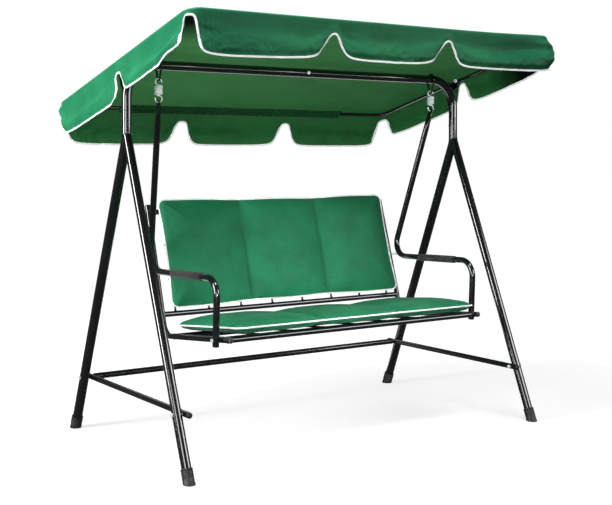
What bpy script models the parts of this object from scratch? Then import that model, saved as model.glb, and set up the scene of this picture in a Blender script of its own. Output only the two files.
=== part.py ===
"""Three-seat garden swing bench with a tilting canopy, seen from the front along +Y.

Metres, +Z up, +X to the viewer's right, the front faces -Y. The origin lies on the ground, under
the middle of the frame. Every steel tube is hollow, and every piece is its own object.
"""

import math

import bmesh
import bpy
from mathutils import Matrix, Vector

# ---------------------------------------------------------------- driving dimensions
GAP = 0.0003  # between pieces that touch

LEG_X = 0.8207  # centre of each leg, from the middle
CROSSBAR_Z = 1.46
MAIN_R = 0.019  # 38 mm main tube
WALL = 0.0012
CROSSBAR_BEND = 0.125
SPIGOT_R = MAIN_R - WALL - 0.0005
CROSSBAR_SEAM_X = -0.0275
CROSSBAR_SPIGOT = 0.062
SOCKET_Z = 1.285  # where the crossbar's ends plug into the rear legs
SOCKET_SPIGOT = 0.06
FORK_Z = 1.20  # where the front leg branches off, and the rear leg's bend starts
REAR_LEG_BEND = 0.10
FRONT_LEG_R = 0.0175
LEG_ANGLE = math.radians(22)
FOOT_WALL = 0.004
FOOT_HEIGHT = 0.05
FOOT_FLOOR = 0.006

BRACE_Z = 0.22
BRACE_R = 0.011
BRACE_OVERHANG = 0.035
STRETCHER_R = 0.0125
STRETCHER_PLUG = 0.03

BOLT_R = 0.004
BOLT_HEAD_R = 0.0075
BOLT_HEAD_H = 0.005
NUT_H = 0.0065

CANOPY_TILT = math.radians(14.1)  # front edge up
CANOPY_AXIS_Z = CROSSBAR_Z
CANOPY_X = 0.857  # half width and half depth of the canopy tube's centre line
CANOPY_Y = 0.571
CANOPY_R = 0.008
CANOPY_CORNER = 0.05
FABRIC_INSIDE = 0.012  # from the canopy tube's centre line to the valance
FABRIC_THICKNESS = 0.002
RIDGE_RISE = 0.024
RIDGE_HALF_LENGTH = 0.70
VALANCE_DROP = 0.148
NOTCH_X = 0.28
# Each notch is a sum of bells: (height, half width at half height, steepness).
FRONT_NOTCH = [(0.095, 0.037, 2.6)]
SIDE_NOTCH = [(0.096, 0.033, 3.4)]
CORNER_NOTCH = [(0.100, 0.026, 6.0), (0.027, 0.045, 2.5)]

JOINER_GAP = 0.009  # from the canopy's pivot to each canopy tube's end
JOINER_R = CANOPY_R - WALL - GAP
JOINER_HALF = 0.055
BRACKET_OUTER_X = 0.8425
BRACKET_THICKNESS = 0.004
# The bracket's corners on the tube's bend, from the bend's outer corner: (x, z).
BRACKET_CORNERS = [(-0.064, -0.010), (-0.056, -0.036), (-0.021, -0.070), (-0.009, -0.115), (0.005, -0.115)]

SUSPENSION_X = 0.686
LOOP_ROD_R = 0.004
LOOP_TOP_R = MAIN_R + LOOP_ROD_R + 0.0004
LOOP_BOTTOM_R = 0.009
LOOP_DROP = 0.057  # rod centre at the loop's lowest point, under the crossbar's centre
WIRE_R = 0.0024
HOOK_R = 0.0135
COIL_R = 0.014
COIL_PITCH = 0.0053
COIL_TURNS = 6
SWING_Z = CROSSBAR_Z - LOOP_DROP + LOOP_ROD_R + WIRE_R + GAP
SPRING_LENGTH = 0.0916  # between the wire centres at the two hooks' far ends
HOOK_Z = SWING_Z - SPRING_LENGTH

HANGER_R = 0.0125  # 25 mm tube
HANGER_EYE_R = 0.013
HANGER_FLAT = 0.0032  # half thickness of the pressed end
BUSH_OUT_R = 0.0060
BUSH_IN_R = 0.0041
EYE_Z = HOOK_Z - 0.0006  # the eye hangs on the curved wire of the hook
SIDE_R = 0.011  # 22 mm tube
SIDE_X = 0.600
ARM_X = SIDE_X + SIDE_R + HANGER_R + 0.001
SEAT_REAR_Y = 0.108  # puts the seat's centre of mass under the hooks
SEAT_DEPTH = 0.50
SEAT_REAR_Z = 0.405
SEAT_FRONT_Z = 0.455
BACK_LENGTH = 0.53
BACK_ANGLE = math.radians(17)
SIDE_BEND = 0.06
ARM_Z = 0.665
ARM_REAR_Y = SEAT_REAR_Y + 0.085
ARM_FRONT_Y = SEAT_REAR_Y - SEAT_DEPTH + 0.055
ARM_BEND = 0.065
ARM_POST_SHARE = 0.14  # where the arm's front post meets the seat's side tube
SLAT_R = 0.004
SLAT_COUNT = 8
CUSHION_HALF_WIDTH = 0.575
CUSHION_THICKNESS = 0.055
GRIP_R = 0.0155

X, Y, Z = Vector((1, 0, 0)), Vector((0, 1, 0)), Vector((0, 0, 1))
SIDES = {"left": -1, "right": 1}


# ---------------------------------------------------------------- materials
def material(name, colour, roughness, metallic=0.0):
    made = bpy.data.materials.new(name)
    made.use_nodes = True
    shader = made.node_tree.nodes["Principled BSDF"]
    shader.inputs["Base Color"].default_value = (*colour, 1)
    shader.inputs["Roughness"].default_value = roughness
    shader.inputs["Metallic"].default_value = metallic
    return made


def black_paint():
    return material("black_paint", (0.012, 0.013, 0.016), 0.25, 0.3)


def green_polyester():
    return material("green_polyester", (0.02, 0.21, 0.10), 0.7)


def zinc():
    return material("zinc", (0.78, 0.80, 0.82), 0.3, 1.0)


def black_plastic():
    return material("black_plastic", (0.02, 0.02, 0.02), 0.5)


# ---------------------------------------------------------------- mesh helpers
def new_object(name, mesh_or_bmesh, look):
    """An object that holds the mesh, with its own material."""
    if isinstance(mesh_or_bmesh, bmesh.types.BMesh):
        mesh = bpy.data.meshes.new(name)
        bmesh.ops.recalc_face_normals(mesh_or_bmesh, faces=mesh_or_bmesh.faces)
        mesh_or_bmesh.to_mesh(mesh)
        mesh_or_bmesh.free()
    else:
        mesh = mesh_or_bmesh
    made = bpy.data.objects.new(name, mesh)
    bpy.context.scene.collection.objects.link(made)
    if look:
        mesh.materials.append(look())
    mesh.shade_smooth()
    mesh.set_sharp_from_angle(angle=math.radians(35))
    return made


def circle(radius, count=12):
    """Points of a round section, first point on the sweep's side direction."""
    turns = [2 * math.pi * k / count for k in range(count)]
    return [(radius * math.cos(a), radius * math.sin(a)) for a in turns]


def ellipse(half_side, half_other, count=10):
    turns = [2 * math.pi * k / count for k in range(count)]
    return [(half_side * math.cos(a), half_other * math.sin(a)) for a in turns]


def hexagon(radius, count=12):
    """A hexagon's outline with a point at each corner and at each flat's middle."""
    flat = radius * math.cos(math.pi / 6)
    turns = [2 * math.pi * k / count for k in range(count)]
    reach = [radius if k % 2 == 0 else flat for k in range(count)]
    return [(r * math.cos(a), r * math.sin(a)) for r, a in zip(reach, turns)]


def frames_along(path, side, closed=False):
    """(point, side direction, other direction) at each point of the path."""
    found = []
    for k, here in enumerate(path):
        before = path[k - 1] if closed or k else here
        after = path[(k + 1) % len(path)] if closed or k + 1 < len(path) else here
        tangent = (after - before).normalized()
        across = (side - side.dot(tangent) * tangent).normalized()
        found.append((here, across, tangent.cross(across)))
    return found


def add_rings(bm, frames, sections):
    """One ring of vertices for each frame."""
    return [
        [bm.verts.new(p + a * across + b * other) for a, b in section]
        for (p, across, other), section in zip(frames, sections)
    ]


def add_skin(bm, rings, closed=False):
    pairs = list(zip(rings, rings[1:]))
    if closed:
        pairs.append((rings[-1], rings[0]))
    for low, high in pairs:
        count = len(low)
        for k in range(count):
            after = (k + 1) % count
            bm.faces.new((low[k], low[after], high[after], high[k]))


def add_band(bm, outer, inner):
    """The flat end of a hollow tube."""
    for k in range(len(outer)):
        after = (k + 1) % len(outer)
        bm.faces.new((outer[k], outer[after], inner[after], inner[k]))


def add_solid(bm, path, side, sections):
    """A solid sweep with closed ends."""
    rings = add_rings(bm, frames_along(path, side), sections)
    add_skin(bm, rings)
    bm.faces.new(rings[0])
    bm.faces.new(rings[-1])


def add_hollow(bm, path, side, outer, inner):
    """A hollow sweep, open at both ends."""
    frames = frames_along(path, side)
    outside = add_rings(bm, frames, outer)
    inside = add_rings(bm, frames, inner)
    add_skin(bm, outside)
    add_skin(bm, inside)
    add_band(bm, outside[0], inside[0])
    add_band(bm, outside[-1], inside[-1])


def tube(name, path, side, radius, look=black_paint, count=10, wall=WALL):
    """A hollow round tube. Radius is one number, or one for each point of the path."""
    radii = radius if isinstance(radius, list) else [radius] * len(path)
    bm = bmesh.new()
    outer = [circle(r, count) for r in radii]
    inner = [circle(r - wall, count) for r in radii]
    add_hollow(bm, path, side, outer, inner)
    return new_object(name, bm, look)


def rounded_path(corners, radius, steps=4):
    """The corners joined by straight lines, each inner corner turned into an arc."""
    points = [corners[0]]
    for before, here, after in zip(corners, corners[1:], corners[2:]):
        back, ahead = (before - here).normalized(), (after - here).normalized()
        half = back.angle(ahead) / 2
        reach = radius / math.tan(half)
        centre = here + (back + ahead).normalized() * (radius / math.sin(half))
        first = here + back * reach - centre
        last = here + ahead * reach - centre
        axis, sweep = first.cross(last).normalized(), first.angle(last)
        for k in range(steps + 1):
            points.append(centre + Matrix.Rotation(sweep * k / steps, 3, axis) @ first)
    points.append(corners[-1])
    return points


def combine(target, other, operation):
    """Applies an exact Boolean to target, and removes the other object."""
    modifier = target.modifiers.new("boolean", "BOOLEAN")
    modifier.operation = operation
    modifier.solver = "EXACT"
    modifier.object = other
    graph = bpy.context.evaluated_depsgraph_get()
    graph.update()
    mesh = bpy.data.meshes.new_from_object(target.evaluated_get(graph))
    target.modifiers.clear()
    target.data = mesh
    mesh.name = target.name
    bpy.data.objects.remove(other)


def box(low, high):
    """A box between two corners, to cut or join with."""
    bm = bmesh.new()
    bmesh.ops.create_cube(bm, size=1)
    centre, size = (low + high) / 2, high - low
    bm.transform(Matrix.Translation(centre) @ Matrix.Diagonal((*size, 1)))
    return new_object("box", bm, None)


def rod(start, end, radius, count=12):
    """A solid cylinder, to cut with."""
    side = Z if abs((end - start).normalized().dot(Z)) < 0.9 else X
    bm = bmesh.new()
    add_solid(bm, [start, end], side, [circle(radius, count)] * 2)
    return new_object("rod", bm, None)


def drill(target, point, axis, radius=BOLT_R + GAP, reach=0.05):
    combine(target, rod(point - axis * reach, point + axis * reach, radius), "DIFFERENCE")


def plate(points, start, end, place):
    """An outline extruded from start to end. place(a, b, c) puts outline point a, b at depth c."""
    bm = bmesh.new()
    near = [bm.verts.new(place(a, b, start)) for a, b in points]
    far = [bm.verts.new(place(a, b, end)) for a, b in points]
    add_skin(bm, [near, far])
    bm.faces.new(near)
    bm.faces.new(far)
    return new_object("plate", bm, None)


# ---------------------------------------------------------------- fasteners
def turned(name, start, axis, stations, look, side=Z):
    """A solid along axis. Each station is a distance from start, and the outline there."""
    bm = bmesh.new()
    frames = [(start + axis * along, side, axis.cross(side)) for along, _ in stations]
    rings = add_rings(bm, frames, [outline for _, outline in stations])
    add_skin(bm, rings)
    bm.faces.new(rings[0])
    bm.faces.new(rings[-1])
    return new_object(name, bm, look)


def bolt(name, surface, axis, grip, nut=True):
    """A hexagon-headed bolt with its head on surface, and its nut grip further along axis."""
    shank, head = circle(BOLT_R), hexagon(BOLT_HEAD_R)
    stations = [(-BOLT_HEAD_H, head), (-GAP, head), (-GAP, shank)]
    if nut:
        start, end = grip + GAP, grip + GAP + NUT_H
        stations += [(start, shank), (start, head), (end, head), (end, shank), (end + 0.004, shank)]
    else:
        stations += [(grip, shank)]
    turned(name, surface, axis, stations, zinc)


def bush(name, start, axis, length, radius, hole, look):
    """A short round sleeve."""
    frames = [(start + axis * along, Z, axis.cross(Z)) for along in (0, length)]
    bm = bmesh.new()
    outer = add_rings(bm, frames, [circle(radius)] * 2)
    inner = add_rings(bm, frames, [circle(hole)] * 2)
    add_skin(bm, outer)
    add_skin(bm, inner)
    add_band(bm, outer[0], inner[0])
    add_band(bm, outer[1], inner[1])
    return new_object(name, bm, look)


# ---------------------------------------------------------------- main frame
def socket_bolt_place(hand):
    """Where a screw from behind holds the crossbar's end in the rear leg."""
    return Vector((hand * LEG_X, MAIN_R, SOCKET_Z - SOCKET_SPIGOT / 2))


def crossbar_half(name, hand):
    """Half the crossbar with its bent-down end. The left half's spigot plugs into the right."""
    seam = CROSSBAR_SEAM_X + hand * GAP / 2
    corner = Vector((hand * LEG_X, 0, CROSSBAR_Z))
    socket = Vector((hand * LEG_X, 0, SOCKET_Z))
    start = Vector((seam, 0, CROSSBAR_Z))
    path = rounded_path([start, corner, socket], CROSSBAR_BEND, steps=7)
    radii = [MAIN_R] * len(path)
    if hand < 0:
        path = [start + X * CROSSBAR_SPIGOT, start + X * GAP] + path
        radii = [SPIGOT_R, SPIGOT_R] + radii
    path += [socket - Z * GAP, socket - Z * SOCKET_SPIGOT]
    radii += [SPIGOT_R, SPIGOT_R]
    made = tube(name, path, Y, radii, count=12)
    drill(made, Vector((0, 0, CROSSBAR_Z)), Y)
    drill(made, socket_bolt_place(hand), Y, reach=0.01)


def crossbar():
    crossbar_half("crossbar_left", -1)
    crossbar_half("crossbar_right", 1)
    bolt("crossbar_bolt", Vector((0, -MAIN_R, CROSSBAR_Z)), Y, 2 * MAIN_R)


def leg_y(facing, z):
    """The leg's centre line at height z: -1 is the front leg, 1 the rear one."""
    if facing < 0:
        return -(FORK_Z - z) * math.tan(LEG_ANGLE)
    straight = FORK_Z - REAR_LEG_BEND * math.sin(LEG_ANGLE) - z
    return REAR_LEG_BEND * (1 - math.cos(LEG_ANGLE)) + straight * math.tan(LEG_ANGLE)


def rear_leg_path(hand, low, top=SOCKET_Z - GAP):
    bend = FORK_Z - REAR_LEG_BEND * math.tan(LEG_ANGLE / 2)
    corners = [(0, top), (0, bend), (leg_y(1, low), low)]
    return rounded_path([Vector((hand * LEG_X, y, z)) for y, z in corners], REAR_LEG_BEND)


def leg_point(hand, facing, z):
    return Vector((hand * LEG_X, leg_y(facing, z), z))


def ground_cutter(hand, facing, height):
    """A box that takes away what lies under the given height around one foot."""
    centre = Vector((hand * LEG_X, leg_y(facing, 0), 0))
    return box(centre + Vector((-0.1, -0.1, -0.2)), centre + Vector((0.1, 0.1, height)))


def legs():
    below = -0.03
    for word, hand in SIDES.items():
        rear = tube(f"{word}_rear_leg", rear_leg_path(hand, below), X, MAIN_R, count=12)
        drill(rear, socket_bolt_place(hand), Y, reach=0.01)
        ends = [leg_point(hand, -1, FORK_Z), leg_point(hand, -1, below)]
        front = tube(f"{word}_front_leg", ends, X, FRONT_LEG_R, count=12)
        bm = bmesh.new()
        path = rear_leg_path(hand, 0.9, CROSSBAR_Z)
        add_solid(bm, path, X, [circle(MAIN_R + GAP)] * len(path))
        combine(front, new_object("cope", bm, None), "DIFFERENCE")
        for made, facing in ((rear, 1), (front, -1)):
            combine(made, ground_cutter(hand, facing, FOOT_FLOOR), "DIFFERENCE")
            drill(made, leg_point(hand, facing, BRACE_Z), X)
        foot(f"{word}_rear_foot", hand, 1, MAIN_R)
        foot(f"{word}_front_foot", hand, -1, FRONT_LEG_R)
        bolt(f"{word}_socket_bolt", socket_bolt_place(hand), -Y, 0.008, nut=False)


def foot(name, hand, facing, leg_r):
    """A plastic cap on the leg's end, cut flat where it stands."""
    made = rod(leg_point(hand, facing, -0.04), leg_point(hand, facing, FOOT_HEIGHT), leg_r + FOOT_WALL, 12)
    combine(made, ground_cutter(hand, facing, 0), "DIFFERENCE")
    ends = [leg_point(hand, facing, z) for z in (-0.05, FOOT_HEIGHT + 0.05)]
    cavity = rod(*ends, leg_r + GAP, 12)
    combine(cavity, ground_cutter(hand, facing, FOOT_FLOOR - GAP), "DIFFERENCE")
    combine(made, cavity, "DIFFERENCE")
    made.name = made.data.name = name
    made.data.materials.append(black_plastic())


def leg_braces():
    """A low tube along each pair of legs, and one across between the rear legs.

    The rear bolts run through leg and brace into the cross tube's solid ends.
    """
    stretcher_half = LEG_X - MAIN_R - 2 * BRACE_R - 2 * GAP
    for word, hand in SIDES.items():
        x = hand * (LEG_X - MAIN_R - BRACE_R - GAP)
        ends = [Vector((x, leg_y(f, BRACE_Z) + f * BRACE_OVERHANG, BRACE_Z)) for f in (-1, 1)]
        made = tube(f"{word}_leg_brace", ends, Z, BRACE_R)
        for facing, end, leg_r in ((-1, "front", FRONT_LEG_R), (1, "rear", MAIN_R)):
            y = leg_y(facing, BRACE_Z)
            drill(made, Vector((x, y, BRACE_Z)), X)
            surface = Vector((hand * (LEG_X + leg_r), y, BRACE_Z))
            grip = leg_r + LEG_X - abs(x) + BRACE_R
            if facing > 0:
                grip += STRETCHER_PLUG - 0.008
            bolt(f"{word}_{end}_brace_bolt", surface, -hand * X, grip, nut=facing < 0)
    y = leg_y(1, BRACE_Z)
    marks = [-stretcher_half, -stretcher_half + STRETCHER_PLUG, -stretcher_half + STRETCHER_PLUG]
    marks += [-m for m in reversed(marks)]
    hole, bore = BOLT_R + GAP, STRETCHER_R - WALL
    bm = bmesh.new()
    frames = [(Vector((x, y, BRACE_Z)), Z, X.cross(Z)) for x in marks]
    inner_radii = [hole, hole, bore, bore, hole, hole]
    outside = add_rings(bm, [frames[0], frames[-1]], [circle(STRETCHER_R)] * 2)
    inside = add_rings(bm, frames, [circle(r) for r in inner_radii])
    add_skin(bm, outside)
    add_skin(bm, inside)
    add_band(bm, outside[0], inside[0])
    add_band(bm, outside[-1], inside[-1])
    new_object("rear_stretcher", bm, black_paint)


# ---------------------------------------------------------------- canopy
def canopy_point(u, v, w=0.0):
    """A point in the canopy's own tilted plane: u across, v towards the rear, w up from it."""
    c, s = math.cos(CANOPY_TILT), math.sin(CANOPY_TILT)
    return Vector((u, v * c + w * s, CANOPY_AXIS_Z - v * s + w * c))


CANOPY_UP = Vector((0, math.sin(CANOPY_TILT), math.cos(CANOPY_TILT)))


def canopy_tubes():
    """Two U-shaped tubes that meet over joiners at the middle of each side."""
    for word, facing in (("front", -1), ("rear", 1)):
        near, far = facing * JOINER_GAP, facing * CANOPY_Y
        outline = [(-CANOPY_X, near), (-CANOPY_X, far), (CANOPY_X, far), (CANOPY_X, near)]
        corners = [canopy_point(u, v) for u, v in outline]
        path = rounded_path(corners, CANOPY_CORNER, steps=6)
        tube(f"canopy_{word}_tube", path, CANOPY_UP, CANOPY_R, count=8)


def canopy_pivots():
    """The joiner, bolt and spacer that hold each side of the canopy to its bracket."""
    for word, hand in SIDES.items():
        ends = [canopy_point(hand * CANOPY_X, v) for v in (-JOINER_HALF, JOINER_HALF)]
        joiner = tube(f"{word}_canopy_joiner", ends, CANOPY_UP, JOINER_R, count=8)
        centre = canopy_point(hand * CANOPY_X, 0)
        drill(joiner, centre, X)
        inwards = -hand * X
        bracket = CANOPY_X + JOINER_R - BRACKET_OUTER_X + BRACKET_THICKNESS + GAP
        shank, head = circle(BOLT_R), hexagon(BOLT_HEAD_R)
        washer = circle(0.009)
        stations = [(-0.003, circle(0.0055)), (-GAP, circle(0.0075)), (-GAP, shank)]
        stations += [(bracket, shank), (bracket, washer), (bracket + 0.0016, washer)]
        stations += [(bracket + 0.0016, head), (bracket + 0.0016 + NUT_H, head)]
        turned(f"{word}_pivot_bolt", centre - inwards * JOINER_R, inwards, stations, zinc)
        start = centre + inwards * (JOINER_R + GAP)
        length = CANOPY_X - JOINER_R - BRACKET_OUTER_X - 2 * GAP
        bush(f"{word}_pivot_spacer", start, inwards, length, 0.008, BOLT_R + GAP, black_plastic)


def canopy_brackets():
    """The plate welded behind each bend of the crossbar, with a lug for the canopy's pivot."""
    outer = BRACKET_OUTER_X
    lug_r, rear = 0.010, MAIN_R + GAP + BRACKET_THICKNESS
    arc = [math.pi * k / 8 for k in range(9)]
    lug = [(lug_r * math.cos(a), CANOPY_AXIS_Z + lug_r * math.sin(a)) for a in arc]
    lug += [(-lug_r, CANOPY_AXIS_Z - 0.03), (rear, CANOPY_AXIS_Z - 0.045)]
    lug += [(rear, CANOPY_AXIS_Z - 0.004)]
    gusset = [(outer, CANOPY_AXIS_Z - 0.004)]
    gusset += [(LEG_X + a, CROSSBAR_Z + b) for a, b in BRACKET_CORNERS]
    gusset += [(outer, CANOPY_AXIS_Z - 0.045)]
    for word, hand in SIDES.items():
        made = plate(gusset, MAIN_R + GAP, rear, lambda a, b, c: Vector((hand * a, c, b)))
        flange = plate(lug, outer - BRACKET_THICKNESS, outer, lambda a, b, c: Vector((hand * c, a, b)))
        combine(made, flange, "UNION")
        drill(made, Vector((hand * outer, 0, CANOPY_AXIS_Z)), X, reach=0.02)
        made.name = made.data.name = f"{word}_canopy_bracket"
        made.data.materials.append(black_paint())


def edge_half_width(v, grow):
    """Half the roof's width at depth v, with its corners rounded."""
    radius = CANOPY_CORNER + grow
    past = abs(v) - (CANOPY_Y + grow - radius)
    if past <= 0:
        return CANOPY_X + grow
    return CANOPY_X + grow - radius + math.sqrt(max(0.0, radius**2 - past**2))


def roof_height(u, v):
    """Height of the roof cloth's underside over the canopy plane: a low hipped ridge."""
    along = min(1.0, max(0.0, (CANOPY_X - abs(u)) / (CANOPY_X - RIDGE_HALF_LENGTH)))
    across = max(0.0, 1 - abs(v) / CANOPY_Y)
    return CANOPY_R + GAP + RIDGE_RISE * min(along, across)


def canopy_roof():
    """The cloth roof, over the canopy tubes and clear of the crossbar."""
    grow = FABRIC_INSIDE + FABRIC_THICKNESS
    reach = CANOPY_Y + grow
    turn = [math.pi / 2 * k / 5 for k in range(1, 6)]
    straight = CANOPY_Y - CANOPY_CORNER
    ends = [straight + (CANOPY_CORNER + grow) * math.sin(a) for a in turn]
    middle = [straight * k / 6 for k in range(7)]
    half = middle + ends
    rows = [-v for v in reversed(half[1:])] + half
    rows[0], rows[-1] = -reach, reach
    marks = [0, 0.2, 0.4, 0.6, 0.75, 0.82, 0.9, 0.96, 1.0]
    columns = [-t for t in reversed(marks[1:])] + marks
    bm = bmesh.new()
    sheets = []
    for lift in (0.0, FABRIC_THICKNESS):
        grid = []
        for v in rows:
            half_width = edge_half_width(v, grow)
            row = [(t * half_width, v) for t in columns]
            grid.append([bm.verts.new(canopy_point(a, b, roof_height(a, b) + lift)) for a, b in row])
        sheets.append(grid)
        for low, high in zip(grid, grid[1:]):
            for k in range(len(columns) - 1):
                bm.faces.new((low[k], low[k + 1], high[k + 1], high[k]))
    rims = [rim_of(grid) for grid in sheets]
    add_skin(bm, rims)
    new_object("canopy_roof", bm, green_polyester)


def rim_of(grid):
    """The vertices round a grid's edge, in order."""
    right = [row[-1] for row in grid[1:]]
    rear = list(reversed(grid[-1][:-1]))
    left = [row[0] for row in reversed(grid[1:-1])]
    return grid[0] + right + rear + left


def notch_height(distance, bells):
    return sum(height / (1 + (abs(distance) / width) ** power) for height, width, power in bells)


def valance_drop(s, total, notches, bells):
    """How far the valance hangs at distance s: full drop, less the notches."""
    drop = VALANCE_DROP - sum(notch_height(s - at, bells) for at in notches)
    return drop - sum(notch_height(s - at, CORNER_NOTCH) for at in (0.0, total))


def even_distances(total, drop, spacing=0.022):
    """Distances along a valance, spaced evenly along its scalloped edge."""
    fine = [total * k / 800 for k in range(801)]
    reach = [0.0]
    for a, b in zip(fine, fine[1:]):
        reach.append(reach[-1] + math.hypot(b - a, drop(b) - drop(a)))
    count = round(reach[-1] / spacing)
    found = []
    for k in range(count):
        wanted = reach[-1] * k / count
        found.append(next(a for a, r in zip(fine, reach) if r >= wanted))
    return found + [total]


def outline_place(s, total, half_u, half_v):
    """(u, v, outward u, outward v) on the tube's centre line, at distance s along the front side."""
    quarter = (CANOPY_CORNER + FABRIC_INSIDE) * math.pi / 4
    inner_u, inner_v = half_u - CANOPY_CORNER, half_v - CANOPY_CORNER
    turn, centre = 0.0, -inner_u + (s - quarter)
    if s < quarter:
        turn, centre = math.pi / 4 * (1 - s / quarter), -inner_u
    elif s > total - quarter:
        turn, centre = -math.pi / 4 * (1 - (total - s) / quarter), inner_u
    out_u, out_v = -math.sin(turn), -math.cos(turn)
    return centre + CANOPY_CORNER * out_u, -inner_v + CANOPY_CORNER * out_v, out_u, out_v


def valance(name, half_u, half_v, facing, notches, bells):
    """One side of the hanging edge, from one corner's middle to the next.

    notches are distances from its middle. facing turns the front side's plan to this side.
    """
    total = (CANOPY_CORNER + FABRIC_INSIDE) * math.pi / 2 + 2 * (half_u - CANOPY_CORNER)
    at = [total / 2 + n for n in notches]
    bm = bmesh.new()
    strips = []
    for s in even_distances(total, lambda d: valance_drop(d, total, at, bells)):
        u, v, out_u, out_v = outline_place(s, total, half_u, half_v)
        drop = Z * valance_drop(s, total, at, bells)
        shrink = Z * (GAP if s in (0.0, total) else 0.0)
        inner, outer = [
            canopy_point(*facing(u + out_u * away, v + out_v * away), CANOPY_R) - shrink
            for away in (FABRIC_INSIDE, FABRIC_INSIDE + FABRIC_THICKNESS)
        ]
        strips.append([bm.verts.new(p) for p in (inner, outer, outer - drop, inner - drop)])
    add_skin(bm, strips)
    bm.faces.new(strips[0])
    bm.faces.new(strips[-1])
    new_object(name, bm, green_polyester)


def canopy_valances():
    across, along = (CANOPY_X, CANOPY_Y), (CANOPY_Y, CANOPY_X)
    pair = (-NOTCH_X, NOTCH_X)
    valance("front_valance", *across, lambda a, b: (a, b), pair, FRONT_NOTCH)
    valance("rear_valance", *across, lambda a, b: (-a, -b), pair, FRONT_NOTCH)
    valance("left_valance", *along, lambda a, b: (b, -a), (0.0,), SIDE_NOTCH)
    valance("right_valance", *along, lambda a, b: (-b, a), (0.0,), SIDE_NOTCH)


# ---------------------------------------------------------------- suspension
def hanger_loop(name, hand):
    """A closed rod loop over the crossbar, narrowing to a cradle for the spring's hook."""
    x = hand * SUSPENSION_X
    top = Vector((x, 0, CROSSBAR_Z))
    low = Vector((x, 0, CROSSBAR_Z - LOOP_DROP + LOOP_BOTTOM_R))
    span = top.z - low.z
    lean = math.asin((LOOP_TOP_R - LOOP_BOTTOM_R) / span)
    path = []
    for k in range(13):
        a = -lean + (math.pi + 2 * lean) * k / 12
        path.append(top + LOOP_TOP_R * Vector((0, math.cos(a), math.sin(a))))
    for k in range(7):
        a = math.pi + lean + (math.pi - 2 * lean) * k / 6
        path.append(low + LOOP_BOTTOM_R * Vector((0, math.cos(a), math.sin(a))))
    bm = bmesh.new()
    rings = add_rings(bm, frames_along(path, X, closed=True), [circle(LOOP_ROD_R, 6)] * len(path))
    add_skin(bm, rings, closed=True)
    new_object(name, bm, black_paint)


def spring_points(x):
    """The spring's wire from the upper hook's free end to the lower hook's."""
    top = Vector((x, 0, SWING_Z - HOOK_R))
    low = Vector((x, 0, HOOK_Z + HOOK_R))
    coil_top = (SWING_Z + HOOK_Z + COIL_TURNS * COIL_PITCH) / 2
    hook_turns = [math.radians(a) for a in range(-20, 221, 24)]
    upper = [top + HOOK_R * Vector((math.cos(a), 0, math.sin(a))) for a in hook_turns]
    coil = []
    steps = 8
    for k in range(COIL_TURNS * steps + 1):
        a = 2 * math.pi * k / steps
        drop = COIL_PITCH * k / steps
        coil.append(Vector((x - COIL_R * math.cos(a), -COIL_R * math.sin(a), coil_top - drop)))
    lower = [low - HOOK_R * Vector((math.cos(a), 0, math.sin(a))) for a in reversed(hook_turns)]
    return upper, coil, lower


def spring(name, hand):
    """An extension spring with an open hook at each end, as one wire."""
    upper, coil, lower = spring_points(hand * SUSPENSION_X)
    curve = bpy.data.curves.new(name, "CURVE")
    curve.dimensions = "3D"
    curve.bevel_depth = WIRE_R
    curve.bevel_resolution = 0
    curve.use_fill_caps = True
    points = upper + coil + lower
    spline = curve.splines.new("POLY")
    spline.points.add(len(points) - 1)
    for point, place in zip(spline.points, points):
        point.co = (*place, 1)
    made = bpy.data.objects.new(name, curve)
    bpy.context.scene.collection.objects.link(made)
    curve.materials.append(zinc())


def hook_bush(name, hand):
    """A nylon eyelet in the hanger's pressed end, round the spring's lower hook."""
    half = HANGER_FLAT + 0.001
    start = Vector((hand * SUSPENSION_X, 0, EYE_Z)) - X * half
    bush(name, start, X, 2 * half, BUSH_OUT_R, BUSH_IN_R, black_plastic)


def suspension():
    for word, hand in SIDES.items():
        hanger_loop(f"{word}_hanger_loop", hand)
        spring(f"{word}_spring", hand)
        hook_bush(f"{word}_hook_bush", hand)


# ---------------------------------------------------------------- seat
def seat_side_corners(hand):
    """The side tube's front end, rear corner and top end."""
    rear = Vector((hand * SIDE_X, SEAT_REAR_Y, SEAT_REAR_Z))
    front = Vector((hand * SIDE_X, SEAT_REAR_Y - SEAT_DEPTH, SEAT_FRONT_Z))
    top = rear + BACK_LENGTH * Vector((0, math.sin(BACK_ANGLE), math.cos(BACK_ANGLE)))
    return front, rear, top


def on_back(share, hand=1):
    _, rear, top = seat_side_corners(hand)
    return rear.lerp(top, share)


def on_seat(share, hand=1):
    front, rear, _ = seat_side_corners(hand)
    return front.lerp(rear, share)


def back_share(z):
    """The share of the back's length at height z."""
    _, rear, top = seat_side_corners(1)
    return (z - rear.z) / (top.z - rear.z)


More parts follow.
